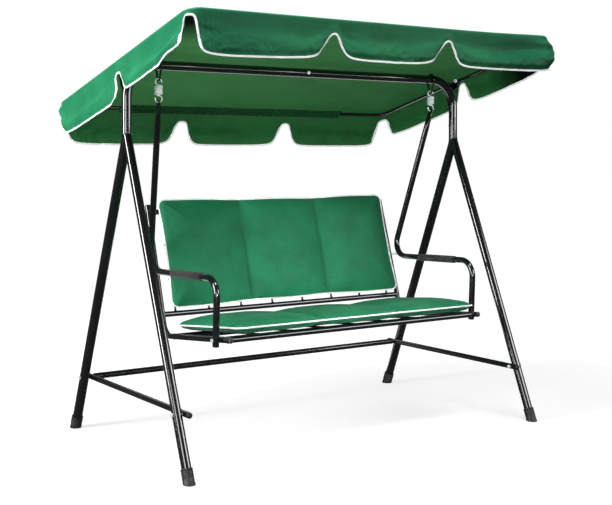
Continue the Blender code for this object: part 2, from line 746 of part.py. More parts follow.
def hanger_arm(name, hand):
    """The tube from the spring down behind the seat, along the arm and down to the seat front."""
    eye = Vector((hand * SUSPENSION_X, 0, EYE_Z))
    arm_x = hand * ARM_X
    rear = Vector((arm_x, ARM_REAR_Y, ARM_Z - 0.008))
    front = Vector((arm_x, ARM_FRONT_Y, ARM_Z + 0.008))
    post = on_seat(ARM_POST_SHARE, hand)
    low = Vector((arm_x, post.y - 0.004, post.z - 0.02))
    down = (rear - eye).normalized()
    round_start = eye + down * 0.095
    path = [eye + down * d for d in (-0.013, -0.009, 0.0, 0.012, 0.03, 0.055, 0.08)]
    flat = [
        (HANGER_FLAT, 0.004),
        (HANGER_FLAT, 0.010),
        (HANGER_FLAT, HANGER_EYE_R),
        (HANGER_FLAT, 0.0145),
        (HANGER_FLAT + 0.001, 0.0155),
        (0.0075, 0.0145),
        (0.011, 0.0131),
    ]
    whole = rounded_path([round_start, rear, front, low], ARM_BEND)
    path += whole
    outer = [ellipse(a, b) for a, b in flat] + [circle(HANGER_R, 10)] * len(whole)
    bm = bmesh.new()
    frames = frames_along(path, X)
    outside = add_rings(bm, frames, outer)
    inside = add_rings(bm, frames[len(flat) :], [circle(HANGER_R - WALL, 10)] * len(whole))
    add_skin(bm, outside)
    add_skin(bm, inside)
    bm.faces.new(outside[0])
    bm.faces.new(inside[0])
    add_band(bm, outside[-1], inside[-1])
    made = new_object(name, bm, black_paint)
    drill(made, eye, X, BUSH_OUT_R + 0.0005, 0.03)
    drill(made, Vector((arm_x, post.y, post.z)), X, reach=0.03)
    crossing = on_back(back_share(ARM_Z), hand)
    drill(made, Vector((arm_x, crossing.y, crossing.z)), X, reach=0.03)
    return made


def side_tube(name, hand):
    """The seat's side rail and the back's upright, as one bent tube."""
    path = rounded_path(list(seat_side_corners(hand)), SIDE_BEND)
    made = tube(name, path, X, SIDE_R)
    for point in (on_seat(ARM_POST_SHARE, hand), on_back(back_share(ARM_Z), hand)):
        drill(made, point, X, reach=0.03)
    return made


def seat_frame():
    for word, hand in SIDES.items():
        hanger_arm(f"{word}_hanger_arm", hand)
        side_tube(f"{word}_side_tube", hand)
    half = SIDE_X - SIDE_R - 0.0004
    rails = {"seat_front_rail": on_seat(0.05), "seat_rear_rail": on_seat(0.86)}
    rails |= {"back_lower_rail": on_back(0.16), "back_top_rail": on_back(0.95)}
    for name, centre in rails.items():
        ends = [Vector((-half, centre.y, centre.z)), Vector((half, centre.y, centre.z))]
        tube(name, ends, Z, SIDE_R)
    grid("seat_grid", rails["seat_front_rail"], rails["seat_rear_rail"])
    grid("back_grid", rails["back_lower_rail"], rails["back_top_rail"])
    arm_fittings()


def grid(name, start, end):
    """Thin rods from rail to rail, with two long wires welded across them."""
    along = (end - start).normalized()
    reach = SIDE_R + GAP
    half = SIDE_X * 0.9
    made = None
    for share in (0.33, 0.67):
        middle = start.lerp(end, share)
        ends = [Vector((side * (half + 0.012), middle.y, middle.z)) for side in (-1, 1)]
        wire = rod(*ends, SLAT_R * 0.75, 4)
        made = wire if made is None else join(made, wire)
    for k in range(SLAT_COUNT):
        x = half * (2 * k / (SLAT_COUNT - 1) - 1)
        ends = [Vector((x, p.y, p.z)) for p in (start + along * reach, end - along * reach)]
        join(made, rod(*ends, SLAT_R, 6))
    made.name = made.data.name = name
    made.data.materials.append(black_paint())


def join(target, other):
    combine(target, other, "UNION")
    return target


def arm_fittings():
    """The bolts that hold each arm to its side tube, and the arm grips."""
    grip = 2 * (HANGER_R + SIDE_R) + 0.001
    for word, hand in SIDES.items():
        places = {"front": on_seat(ARM_POST_SHARE, hand), "rear": on_back(back_share(ARM_Z), hand)}
        for end, point in places.items():
            surface = Vector((hand * (ARM_X + HANGER_R), point.y, point.z))
            bolt(f"{word}_{end}_seat_bolt", surface, -hand * X, grip)
        arm_grip(f"{word}_arm_grip", hand)


def arm_grip(name, hand):
    """A soft sleeve on the straight part of the arm."""
    rear = Vector((hand * ARM_X, ARM_REAR_Y, ARM_Z - 0.008))
    front = Vector((hand * ARM_X, ARM_FRONT_Y, ARM_Z + 0.008))
    path = [rear.lerp(front, t) for t in (0.36, 0.37, 0.78, 0.79)]
    outer = [circle(r, 10) for r in (GRIP_R - 0.001, GRIP_R, GRIP_R, GRIP_R - 0.001)]
    inner = [circle(HANGER_R + GAP, 10)] * 4
    bm = bmesh.new()
    add_hollow(bm, path, X, outer, inner)
    new_object(name, bm, black_plastic)


# ---------------------------------------------------------------- cushions
def cushion(name, start, end, above):
    """A pad between two points of the side view, lying on the side named by above."""
    along = (end - start).normalized()
    lift = SIDE_R + 0.002
    half_depth = (end - start).length / 2
    centre = (start + end) / 2 + above * (lift + CUSHION_THICKNESS / 2)
    bm = bmesh.new()
    bmesh.ops.create_cube(bm, size=2)
    size = Matrix.Diagonal((CUSHION_HALF_WIDTH, half_depth, CUSHION_THICKNESS / 2, 1))
    turn = Matrix((X, along, above)).transposed().to_4x4()
    bm.transform(Matrix.Translation(Vector((0, centre.y, centre.z))) @ turn @ size)
    bmesh.ops.bevel(bm, geom=bm.edges[:], offset=0.02, segments=3, profile=0.5, affect="EDGES")
    new_object(name, bm, green_polyester)


def cushions():
    front, rear, top = seat_side_corners(1)
    seat_up = X.cross((rear - front).normalized())
    back_front = X.cross((top - rear).normalized())
    clear = SIDE_R + CUSHION_THICKNESS + 0.012
    seat_length = (rear - front).length
    cushion("seat_cushion", front.lerp(rear, -0.03), front.lerp(rear, 1 - 0.035 / seat_length), seat_up)
    low = rear.lerp(top, (clear + 0.012) / BACK_LENGTH)
    cushion("back_cushion", low, rear.lerp(top, 1.05), back_front)


def main():
    for leftover in list(bpy.data.objects):
        bpy.data.objects.remove(leftover)
    crossbar()
    legs()
    leg_braces()
    canopy_brackets()
    canopy_tubes()
    canopy_pivots()
    canopy_roof()
    canopy_valances()
    suspension()
    seat_frame()
    cushions()


main()
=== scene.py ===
import math

import bmesh
import bpy
import numpy as np
from mathutils import Matrix, Vector
from mathutils.bvhtree import BVHTree


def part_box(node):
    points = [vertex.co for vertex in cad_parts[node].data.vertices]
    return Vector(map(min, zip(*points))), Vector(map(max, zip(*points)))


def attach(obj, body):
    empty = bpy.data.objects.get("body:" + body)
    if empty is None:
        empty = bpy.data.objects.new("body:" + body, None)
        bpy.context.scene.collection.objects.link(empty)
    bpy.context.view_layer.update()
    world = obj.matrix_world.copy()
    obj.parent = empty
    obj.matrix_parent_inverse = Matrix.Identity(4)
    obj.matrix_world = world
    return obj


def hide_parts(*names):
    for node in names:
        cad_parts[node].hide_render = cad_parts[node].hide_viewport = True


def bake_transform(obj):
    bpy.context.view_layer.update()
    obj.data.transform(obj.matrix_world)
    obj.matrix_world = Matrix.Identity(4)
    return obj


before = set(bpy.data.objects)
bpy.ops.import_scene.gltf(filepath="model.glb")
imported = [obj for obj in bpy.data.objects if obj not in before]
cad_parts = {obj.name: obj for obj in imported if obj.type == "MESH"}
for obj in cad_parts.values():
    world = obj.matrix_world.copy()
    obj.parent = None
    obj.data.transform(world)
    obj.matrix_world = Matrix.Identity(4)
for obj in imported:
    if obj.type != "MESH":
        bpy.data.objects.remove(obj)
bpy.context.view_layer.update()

# ---------------------------------------------------------------- sizes, in metres
GAP = 0.0003
LEG_X = 0.8207
CROSSBAR_Z = 1.46
MAIN_R = 0.019
WALL = 0.0012
CROSSBAR_BEND = 0.125
CROSSBAR_SEAM_X = -0.0275
SOCKET_Z = 1.285
SOCKET_SPIGOT = 0.06
FORK_Z = 1.20
REAR_LEG_BEND = 0.10
FRONT_LEG_R = 0.0175
LEG_ANGLE = math.radians(22)
LEG_END_Z = 0.012
FOOT_WALL = 0.004
FOOT_HEIGHT = 0.05
BRACE_Z = 0.22
BRACE_R = 0.011
BRACE_OVERHANG = 0.035
STRETCHER_R = 0.0125
BOLT_R = 0.004
BOLT_HEAD_R = 0.0075
BOLT_HEAD_H = 0.005
NUT_H = 0.0065
WASHER_H = 0.0016

CANOPY_TILT = math.radians(14.1)
CANOPY_AXIS_Z = CROSSBAR_Z
CANOPY_X = 0.857
CANOPY_Y = 0.571
CANOPY_R = 0.008
CANOPY_CORNER = 0.05
RIDGE_RISE = 0.024
RIDGE_HALF_LENGTH = 0.70
BRACKET_OUTER_X = 0.8425

SUSPENSION_X = 0.686
LOOP_ROD_R = 0.004
LOOP_TOP_R = MAIN_R + LOOP_ROD_R + 0.0004
LOOP_BOTTOM_R = 0.009
LOOP_DROP = 0.057
WIRE_R = 0.0024
COIL_R = 0.014
COIL_TURNS = 6
SPRING_WIRE_R = 0.0020
TOP_RING_R = 0.0122
LOW_RING_R = 0.0132
RING_NECK = 0.0028
RING_TURN = math.radians(16)
SWING_Z = CROSSBAR_Z - LOOP_DROP + LOOP_ROD_R + WIRE_R + GAP
SPRING_LENGTH = 0.0916
HOOK_Z = SWING_Z - SPRING_LENGTH

HANGER_R = 0.0125
HANGER_FLAT = 0.0032
EYE_HALF_WIDTH = 0.0136
BUSH_OUT_R = 0.0060
BUSH_IN_R = 0.0041
EYE_Z = HOOK_Z - 0.0006
SIDE_R = 0.011
SIDE_X = 0.600
ARM_X = SIDE_X + SIDE_R + HANGER_R + 0.001
SEAT_REAR_Y = 0.108
SEAT_DEPTH = 0.50
SEAT_REAR_Z = 0.405
SEAT_FRONT_Z = 0.455
BACK_LENGTH = 0.53
BACK_ANGLE = math.radians(17)
SIDE_BEND = 0.06
ARM_Z = 0.665
ARM_REAR_Y = SEAT_REAR_Y + 0.085
ARM_FRONT_Y = SEAT_REAR_Y - SEAT_DEPTH + 0.055
ARM_BEND = 0.065
ARM_POST_SHARE = 0.14
SEAT_RAIL_SHARES = 0.05, 0.86
BACK_RAIL_SHARES = 0.16, 0.95
SLAT_R = 0.004
SLAT_COUNT = 8
CUSHION_HALF_WIDTH = 0.575
SEAT_CUSHION_HALF_DEPTH = 0.245
BACK_CUSHION_HALF_DEPTH = 0.225
CUSHION_THICKNESS = 0.055
CUSHION_CORNER = 0.035
CUSHION_SECTIONS = 3
CUSHION_SWELL = 0.012
PIPING_R = 0.0031
GRIP_R = 0.0155
GRIP_SHARES = 0.36, 0.79

CLOTH_GAP = 0.0012  # from a tube's surface to the middle of the cloth round it
CLOTH_THICKNESS = 0.0009
BINDING_WIDTH = 0.0064
POCKET_HALF_LENGTH = 0.585
PUCKER_SPACING = 0.030
GATHER_SPACING = 0.0165

X, Y, Z = Vector((1, 0, 0)), Vector((0, 1, 0)), Vector((0, 0, 1))
SIDES = {"left": -1, "right": 1}

# ---------------------------------------------------------------- camera
CAMERA_PLACE = Vector((-2.634, -3.762, 1.103))
CAMERA_YAW = math.radians(33.7)

camera_data = bpy.data.cameras.new("camera")
camera_data.sensor_width = 36
camera_data.lens = 64.9
camera_data.shift_x = 0.041
camera_data.shift_y = -0.153
camera = bpy.data.objects.new("camera", camera_data)
bpy.context.scene.collection.objects.link(camera)
camera.location = CAMERA_PLACE
camera.rotation_euler = (math.pi / 2, 0, -CAMERA_YAW)
bpy.context.scene.camera = camera


# ---------------------------------------------------------------- material helpers
class Nodes:
    """Short ways to add and join nodes of one material."""

    def __init__(self, name):
        self.material = bpy.data.materials.new(name)
        self.material.use_nodes = True
        self.tree = self.material.node_tree
        self.shader = self.tree.nodes["Principled BSDF"]
        self.output = self.tree.nodes["Material Output"]

    def add(self, kind, **settings):
        made = self.tree.nodes.new(kind)
        for key, value in settings.items():
            setattr(made, key, value)
        return made

    def join(self, source, target):
        self.tree.links.new(source, target)

    def feed(self, socket, value):
        if isinstance(value, (int, float, tuple)):
            socket.default_value = value
        else:
            self.join(value, socket)

    def math(self, operation, a, b=0.0, clamp=False):
        made = self.add("ShaderNodeMath", operation=operation, use_clamp=clamp)
        self.feed(made.inputs[0], a)
        self.feed(made.inputs[1], b)
        return made.outputs[0]

    def place(self, source="Object"):
        return self.add("ShaderNodeTexCoord").outputs[source]

    def split(self, vector):
        made = self.add("ShaderNodeSeparateXYZ")
        self.join(vector, made.inputs[0])
        return made.outputs

    def stretch(self, vector, scale):
        made = self.add("ShaderNodeMapping")
        self.join(vector, made.inputs["Vector"])
        made.inputs["Scale"].default_value = scale
        return made.outputs[0]

    def noise(self, vector, scale, detail=2.0, roughness=0.5):
        made = self.add("ShaderNodeTexNoise")
        self.join(vector, made.inputs["Vector"])
        made.inputs["Scale"].default_value = scale
        made.inputs["Detail"].default_value = detail
        made.inputs["Roughness"].default_value = roughness
        return made.outputs["Fac"]

    def ramp(self, value, *stops):
        """Greys between stops of (position, grey)."""
        made = self.add("ShaderNodeValToRGB")
        self.join(value, made.inputs[0])
        ramp = made.color_ramp
        for element, (position, grey) in zip(ramp.elements, stops):
            element.position = position
            element.color = (grey, grey, grey, 1)
        return made.outputs["Color"]

    def to_range(self, value, low, high, from_low=0.0, from_high=1.0):
        made = self.add("ShaderNodeMapRange")
        self.join(value, made.inputs["Value"])
        made.inputs["From Min"].default_value = from_low
        made.inputs["From Max"].default_value = from_high
        made.inputs["To Min"].default_value = low
        made.inputs["To Max"].default_value = high
        return made.outputs[0]

    def mix_colour(self, share, first, second, mode="MIX"):
        made = self.add("ShaderNodeMix", data_type="RGBA", blend_type=mode)
        self.feed(made.inputs["Factor"], share)
        self.feed(made.inputs["A"], (*first, 1) if isinstance(first, tuple) else first)
        self.feed(made.inputs["B"], (*second, 1) if isinstance(second, tuple) else second)
        return made.outputs["Result"]

    def bump(self, height, distance, strength=1.0, before=None):
        made = self.add("ShaderNodeBump")
        self.join(height, made.inputs["Height"])
        made.inputs["Distance"].default_value = distance
        made.inputs["Strength"].default_value = strength
        if before is not None:
            self.join(before, made.inputs["Normal"])
        return made.outputs[0]

    def principled(self, **values):
        for key, value in values.items():
            self.feed(self.shader.inputs[key.replace("_", " ")], value)


# ---------------------------------------------------------------- materials
def make_black_paint():
    """Glossy black powder coat: a fine orange peel, small scuffs and dust."""
    n = Nodes("black_powder_coat")
    at = n.place()
    peel = n.noise(at, 900, 2)
    broad = n.noise(at, 7, 3)
    scuff = n.noise(n.stretch(at, (60, 60, 240)), 3.0, 6, 0.7)
    marks = n.ramp(scuff, (0.66, 0.0), (0.72, 1.0))
    dusty = n.to_range(broad, 0.0, 0.5, 0.45, 0.75)
    dust = n.mix_colour(dusty, (0.0045, 0.005, 0.0065), (0.011, 0.0115, 0.0125))
    colour = n.mix_colour(n.math("MULTIPLY", marks, 0.18), dust, (0.05, 0.052, 0.055))
    polish = n.to_range(broad, 0.10, 0.19, 0.3, 0.7)
    rough = n.math("ADD", polish, n.math("MULTIPLY", marks, 0.16))
    n.principled(Base_Color=colour, Roughness=rough, Normal=n.bump(peel, 0.00025, 0.35))
    n.principled(IOR=1.6, Coat_Weight=0.55, Coat_Roughness=0.05)
    return n.material


def make_zinc():
    """Bright zinc plate, with a faint spangle, duller patches and a painted glow."""
    n = Nodes("bright_zinc_painted_glow")
    at = n.place()
    grain = n.noise(at, 500, 3)
    patch = n.noise(at, 90, 4, 0.6)
    dull = n.to_range(patch, 0.0, 1.0, 0.35, 0.7)
    colour = n.mix_colour(dull, (0.95, 0.97, 0.97), (0.80, 0.83, 0.83))
    n.principled(Base_Color=colour, Metallic=0.6, Roughness=n.to_range(patch, 0.26, 0.42, 0.3, 0.7))
    # Painted light: a faint emission makes the zinc glow brighter than its lamps light it.
    n.principled(Emission_Color=(0.90, 0.96, 0.95, 1), Emission_Strength=0.24)
    n.principled(Normal=n.bump(grain, 0.0002, 0.4))
    return n.material


def make_plastic():
    """Black moulded plastic with a fine spark-eroded grain and scuffed low spots."""
    n = Nodes("black_moulded_plastic")
    at = n.place()
    grain = n.noise(at, 1400, 3, 0.6)
    patch = n.noise(at, 35, 4, 0.6)
    worn = n.to_range(patch, 0.0, 1.0, 0.35, 0.75)
    colour = n.mix_colour(worn, (0.012, 0.012, 0.013), (0.035, 0.035, 0.036))
    n.principled(Base_Color=colour, Roughness=n.to_range(patch, 0.38, 0.6, 0.3, 0.7))
    n.principled(Normal=n.bump(grain, 0.0003, 0.5))
    return n.material


def make_foam():
    """Black cellular grip foam: open pores with painted shade in them, and a slightly chalky
    surface.
    """
    n = Nodes("grip_foam")
    at = n.place()
    cells = n.add("ShaderNodeTexVoronoi")
    n.join(at, cells.inputs["Vector"])
    cells.inputs["Scale"].default_value = 850
    patch = n.noise(at, 60, 3)
    pores = n.to_range(cells.outputs["Distance"], 0.0, 1.0, 0.0, 0.6)
    # Painted shade: the colour darkens towards the bottom of each pore.
    colour = n.mix_colour(pores, (0.008, 0.008, 0.008), (0.03, 0.03, 0.031))
    n.principled(Base_Color=colour, Roughness=n.to_range(patch, 0.78, 0.95))
    n.principled(Normal=n.bump(pores, 0.0005, 0.7), Sheen_Weight=0.15)
    return n.material


def rounded_rows(n, distance, pitch):
    """Rows of rounded threads, one pitch apart."""
    return n.math("ABSOLUTE", n.math("SINE", n.math("MULTIPLY", distance, math.pi / pitch)))


def weave_height(n, uv, pitch):
    """Height of a plain weave, from two crossed sets of rounded threads."""
    along, across, _ = n.split(uv)
    return n.math("MULTIPLY", rounded_rows(n, along, pitch), rounded_rows(n, across, pitch))


def painted_corner_shade(n, at):
    """1 at the two front corners, where shade is painted into the underside, fading to 0 inwards.
    """
    x, y, _ = n.split(at)
    aside = n.math("SUBTRACT", CANOPY_X, n.math("ABSOLUTE", x))
    behind = n.math("ADD", y, CANOPY_Y)
    squares = n.math("ADD", n.math("MULTIPLY", aside, aside), n.math("MULTIPLY", behind, behind))
    return n.to_range(n.math("SQRT", squares), 1.0, 0.0, 0.20, 0.40)


def make_polyester(name, bright, deep, weave=0.0011, inner=False, glow=0.35):
    """Woven polyester: a soft sheen, faint slubs, small creases and painted shade between the
    threads. The UV map is in metres.
    """
    n = Nodes(name)
    uv = n.place("UV")
    at = n.place()
    height = weave_height(n, uv, weave)
    slub = n.noise(n.stretch(uv, (40, 900, 1)), 1.0, 2)
    mottle = n.noise(at, 9, 4, 0.55)
    crease = n.noise(at, 26, 4, 0.62)
    fine = n.noise(at, 85, 3, 0.6)
    tone = n.mix_colour(n.to_range(mottle, 0.0, 1.0, 0.3, 0.72), deep, bright)
    tone = n.mix_colour(n.to_range(slub, 0.0, 0.22, 0.4, 0.8), tone, deep)
    # Painted shade: the cloth darkens a little in the low gaps between the woven threads.
    threads = n.math("MULTIPLY", n.math("SUBTRACT", 1.0, height), 0.10)
    tone = n.mix_colour(threads, tone, tuple(c * 0.55 for c in deep))
    rough = n.to_range(mottle, 0.50, 0.66, 0.3, 0.7)
    surface = n.bump(crease, 0.0045, 0.55)
    surface = n.bump(fine, 0.0012, 0.45, surface)
    surface = n.bump(height, 0.00018, 0.5, surface)
    glow_tone = n.mix_colour(mottle, (0.33, 0.62, 0.36), (0.40, 0.74, 0.44))
    if inner:
        # Painted shade: near the front corners the underside and its glow through the cloth go near
        # black.
        corner_shade = painted_corner_shade(n, at)
        tone = n.mix_colour(corner_shade, tone, tuple(c * 0.08 for c in deep))
        glow_tone = n.mix_colour(corner_shade, glow_tone, (0.010, 0.016, 0.010))
    n.principled(Base_Color=tone, Roughness=rough, Normal=surface)
    n.principled(Sheen_Weight=0.0 if inner else 0.05, Sheen_Roughness=0.4)
    n.shader.inputs["Specular IOR Level"].default_value = 0.02 if inner else 0.16
    see = n.add("ShaderNodeBsdfTranslucent")
    n.join(glow_tone, see.inputs["Color"])
    n.join(surface, see.inputs["Normal"])
    mix = n.add("ShaderNodeMixShader")
    mix.inputs[0].default_value = glow
    n.join(n.shader.outputs[0], mix.inputs[1])
    n.join(see.outputs[0], mix.inputs[2])
    n.join(mix.outputs[0], n.output.inputs["Surface"])
    return n.material


def make_binding():
    """White bias tape: a fine rib across it, one line of stitches near its inner edge, painted
    shade in the stitch holes and a painted glow.

    The UV map is in metres: along the tape, and in from its folded edge.
    """
    n = Nodes("white_bias_tape")
    uv = n.place("UV")
    along, across, _ = n.split(uv)
    rib = rounded_rows(n, along, 0.0009)
    from_line = n.math("ABSOLUTE", n.math("SUBTRACT", across, 0.0050))
    line = n.math("SUBTRACT", 1.0, n.math("MULTIPLY", from_line, 1600), True)
    wave = n.math("SINE", n.math("MULTIPLY", along, 2 * math.pi / 0.0034))
    dash = n.math("GREATER_THAN", wave, -0.55)
    stitch = n.math("MULTIPLY", line, dash)
    # Painted shade: the holes between the stitches are darkened.
    hole_shade = n.math("MULTIPLY", line, n.math("SUBTRACT", 1.0, dash))
    tone = n.noise(n.place(), 30, 3)
    washed = n.to_range(tone, 0.0, 1.0, 0.35, 0.7)
    colour = n.mix_colour(washed, (0.80, 0.81, 0.80), (0.90, 0.905, 0.90))
    colour = n.mix_colour(n.math("MULTIPLY", hole_shade, 0.5), colour, (0.42, 0.44, 0.43))
    surface = n.bump(rib, 0.00012, 0.4)
    surface = n.bump(stitch, 0.0005, 0.8, surface)
    n.principled(Base_Color=colour, Roughness=n.to_range(tone, 0.6, 0.75), Normal=surface)
    # Painted light: an emission glow keeps the tape and the cushion piping white in shade; it is no
    # lamp.
    n.principled(Emission_Color=(1.0, 1.0, 1.0, 1.0), Emission_Strength=0.42)
    return n.material


def make_seam_shadow_strip(name, colour):
    """A strip in the colour given, with a fine thread twist, used as a painted shadow line along a
    seam. The UV map is in metres.
    """
    n = Nodes(name)
    uv = n.place("UV")
    twist = n.math("SINE", n.math("MULTIPLY", n.split(uv)[0], 2 * math.pi / 0.0011))
    tone = n.noise(n.place(), 200, 2)
    n.principled(Base_Color=n.mix_colour(tone, colour, tuple(c * 0.7 for c in colour)))
    n.principled(Roughness=n.to_range(tone, 0.5, 0.7), Normal=n.bump(twist, 0.0002, 0.6))
    return n.material


def make_floor_paint():
    """Pale matt studio floor with a barely visible mottle."""
    n = Nodes("pale_floor")
    at = n.place()
    tone = n.noise(at, 1.3, 5)
    far = n.add("ShaderNodeVectorMath", operation="LENGTH")
    n.join(at, far.inputs[0])
    n.principled(Base_Color=n.mix_colour(tone, (0.60, 0.60, 0.595), (0.64, 0.64, 0.635)))
    n.principled(Roughness=n.to_range(tone, 0.85, 0.95), Emission_Color=(1.0, 1.0, 1.0, 1.0))
    n.principled(Emission_Strength=n.to_range(far.outputs["Value"], 0.70, 0.97, 1.5, 6.0))
    n.shader.inputs["Specular IOR Level"].default_value = 0.1
    return n.material


BLACK = make_black_paint()
ZINC = make_zinc()
PLASTIC = make_plastic()
FOAM = make_foam()
GREEN = make_polyester("green_polyester_outer", (0.034, 0.425, 0.200), (0.022, 0.300, 0.135))
# Painted shade: the underside is a darker copy of the outer cloth, for the shade under the roof.
GREEN_INNER_SHADED = make_polyester(
    "green_polyester_inner_shaded", (0.036, 0.250, 0.085), (0.024, 0.170, 0.055), inner=True
)
CUSHION_GREEN = make_polyester(
    "green_polyester_cushion", (0.026, 0.320, 0.145), (0.016, 0.215, 0.094), 0.0014, glow=0.02
)
WHITE = make_binding()
# Painted shadow: a near-black green for the seam strips along the tube pockets, standing for shadow
# lines.
POCKET_SEAM_SHADOW = make_seam_shadow_strip("pocket_seam_painted_shadow", (0.006, 0.030, 0.014))


# ---------------------------------------------------------------- mesh helpers
def new_piece(name, points, faces, looks, body, nodes=(), uvs=None, smooth=35):
    """A mesh piece that rides on a CAD body and stands for some of its nodes."""
    mesh = bpy.data.meshes.new(name)
    mesh.from_pydata([tuple(p) for p in points], [], faces)
    for look in looks if isinstance(looks, (list, tuple)) else [looks]:
        mesh.materials.append(look)
    if uvs is not None:
        layer = mesh.uv_layers.new(name="UVMap")
        index = np.empty(len(mesh.loops), np.int32)
        mesh.loops.foreach_get("vertex_index", index)
        layer.data.foreach_set("uv", np.asarray(uvs, np.float32)[index].ravel())
    mesh.validate()
    mesh.shade_smooth()
    if smooth:
        mesh.set_sharp_from_angle(angle=math.radians(smooth))
    made = bpy.data.objects.new(name, mesh)
    bpy.context.scene.collection.objects.link(made)
    if body:
        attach(made, body)
    if nodes:
        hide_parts(*nodes)
    return made


def apply_modifiers(made):
    """Puts the result of a piece's modifiers into its mesh."""
    graph = bpy.context.evaluated_depsgraph_get()
    mesh = bpy.data.meshes.new_from_object(made.evaluated_get(graph))
    made.modifiers.clear()
    made.data = mesh


class Shell:
    """Points and faces gathered from several closed surfaces."""

    def __init__(self):
        self.points, self.faces = [], []

    def rings(self, rings, closed=False, caps=True):
        """Joins rings of equally many points. Caps close the first and last ring."""
        start = len(self.points)
        count = len(rings[0])
        for ring in rings:
            self.points.extend(ring)
        pairs = list(zip(range(len(rings)), range(1, len(rings))))
        if closed:
            pairs.append((len(rings) - 1, 0))
        for low, high in pairs:
            for k in range(count):
                after = (k + 1) % count
                a, b = start + low * count, start + high * count
                self.faces.append((a + k, a + after, b + after, b + k))
        if caps and not closed:
            self.faces.append(tuple(start + k for k in reversed(range(count))))
            last = start + (len(rings) - 1) * count
            self.faces.append(tuple(last + k for k in range(count)))

    def piece(self, name, look, body, slot, nodes=(), smooth=35):
        return new_piece(name, self.points, self.faces, look, body, nodes, smooth=smooth)


def frames_along(path, side, closed=False, carried=False):
    """(point, side direction, other direction) at each point of the path.

    A carried side direction follows the path, for paths that turn all ways.
    """
    found = []
    across = side
    for k, here in enumerate(path):
        before = path[k - 1] if closed or k else here
        after = path[(k + 1) % len(path)] if closed or k + 1 < len(path) else here
        tangent = (after - before).normalized()
        start = across if carried else side
        across = (start - start.dot(tangent) * tangent).normalized()
        found.append((here, across, tangent.cross(across)))
    return found


def axes_across(axis, side=None):
    """Two directions square to an axis."""
    side = side or (Z if abs(axis.dot(Z)) < 0.9 else X)
    across = (side - side.dot(axis) * axis).normalized()
    return across, axis.cross(across)


def ring_at(frame_here, half_side, half_other, count=40):
    here, across, other = frame_here
    side, up = across * half_side, other * half_other
    turns = [2 * math.pi * k / count for k in range(count)]
    return [here + side * math.cos(a) + up * math.sin(a) for a in turns]


def rounded_path(corners, radius, steps=18):
    """The corners joined by straight lines, each inner corner turned into an arc."""
    points = [corners[0]]
    for before, here, after in zip(corners, corners[1:], corners[2:]):
        back, ahead = (before - here).normalized(), (after - here).normalized()
        half = back.angle(ahead) / 2
        reach = radius / math.tan(half)
        centre = here + (back + ahead).normalized() * (radius / math.sin(half))
        first = here + back * reach - centre
        last = here + ahead * reach - centre
        axis, sweep = first.cross(last).normalized(), first.angle(last)
        for k in range(steps + 1):
            points.append(centre + Matrix.Rotation(sweep * k / steps, 3, axis) @ first)
    points.append(corners[-1])
    return points


def tube_rings(path, side, radius, count=40, lip=0.0006, carried=False):
    """Rings of a round tube with slightly rounded ends."""
    ends = []
    for k, step in ((0, 1), (-1, -1)):
        ends.append((path[k + step] - path[k]).normalized())
    inner = list(path)
    full = [inner[0], inner[0] + ends[0] * lip, *inner[1:-1], inner[-1] + ends[1] * lip, inner[-1]]
    frames = frames_along(full, side, carried=carried)
    radii = [radius - lip] + [radius] * (len(full) - 2) + [radius - lip]
    return [ring_at(f, r, r, count) for f, r in zip(frames, radii)]


def smooth_tube(name, path, side, radius, body, nodes, count=40):
    shell = Shell()
    shell.rings(tube_rings(path, side, radius, count))
    return shell.piece(name, BLACK, body, "black_paint", nodes)


def bvh_of(piece):
    points = [v.co.copy() for v in piece.data.vertices]
    return BVHTree.FromPolygons(points, [tuple(p.vertices) for p in piece.data.polygons])


def coped_ring(start, direction, side, radius, target, count=48):
    """Where the lines of a tube's surface, drawn from start along direction, meet the target."""
    origins = ring_at((start, side, direction.cross(side)), radius, radius, count)
    hits = [target.ray_cast(origin, direction)[0] for origin in origins]
    reach = max((hit - start).dot(direction) for hit in hits if hit is not None)
    return [
        hit if hit is not None else origin + direction * reach for hit, origin in zip(hits, origins)
    ]


def bead(shell, ring, size=0.0021, ripple=0.0004, spacing=0.0022):
    """A rippled weld bead along a closed line."""
    length = sum((b - a).length for a, b in zip(ring, ring[1:] + ring[:1]))
    count = max(24, round(length / 0.0008))
    marks = [0.0]
    for a, b in zip(ring, ring[1:] + ring[:1]):
        marks.append(marks[-1] + (b - a).length)
    closed = ring + ring[:1]
    path = []
    place = 0
    for k in range(count):
        at = marks[-1] * k / count
        while marks[place + 1] < at:
            place += 1
        share = (at - marks[place]) / max(1e-9, marks[place + 1] - marks[place])
        path.append(closed[place].lerp(closed[place + 1], share))
    centre = sum(path, Vector()) / len(path)
    frames = []
    for k, here in enumerate(path):
        tangent = (path[(k + 1) % count] - path[k - 1]).normalized()
        across = here - centre
        across = (across - across.dot(tangent) * tangent).normalized()
        frames.append((here, across, tangent.cross(across)))
    rings = []
    for k, f in enumerate(frames):
        r = size + ripple * math.cos(2 * math.pi * (marks[-1] * k / count) / spacing)
        rings.append(ring_at(f, r, r, 8))
    shell.rings(rings, closed=True)


def turned(shell, start, axis, stations, count=40):
    """A solid of revolution. Stations are (distance along axis, radius)."""
    across, other = axes_across(axis)
    shell.rings([ring_at((start + axis * a, across, other), r, r, count) for a, r in stations])


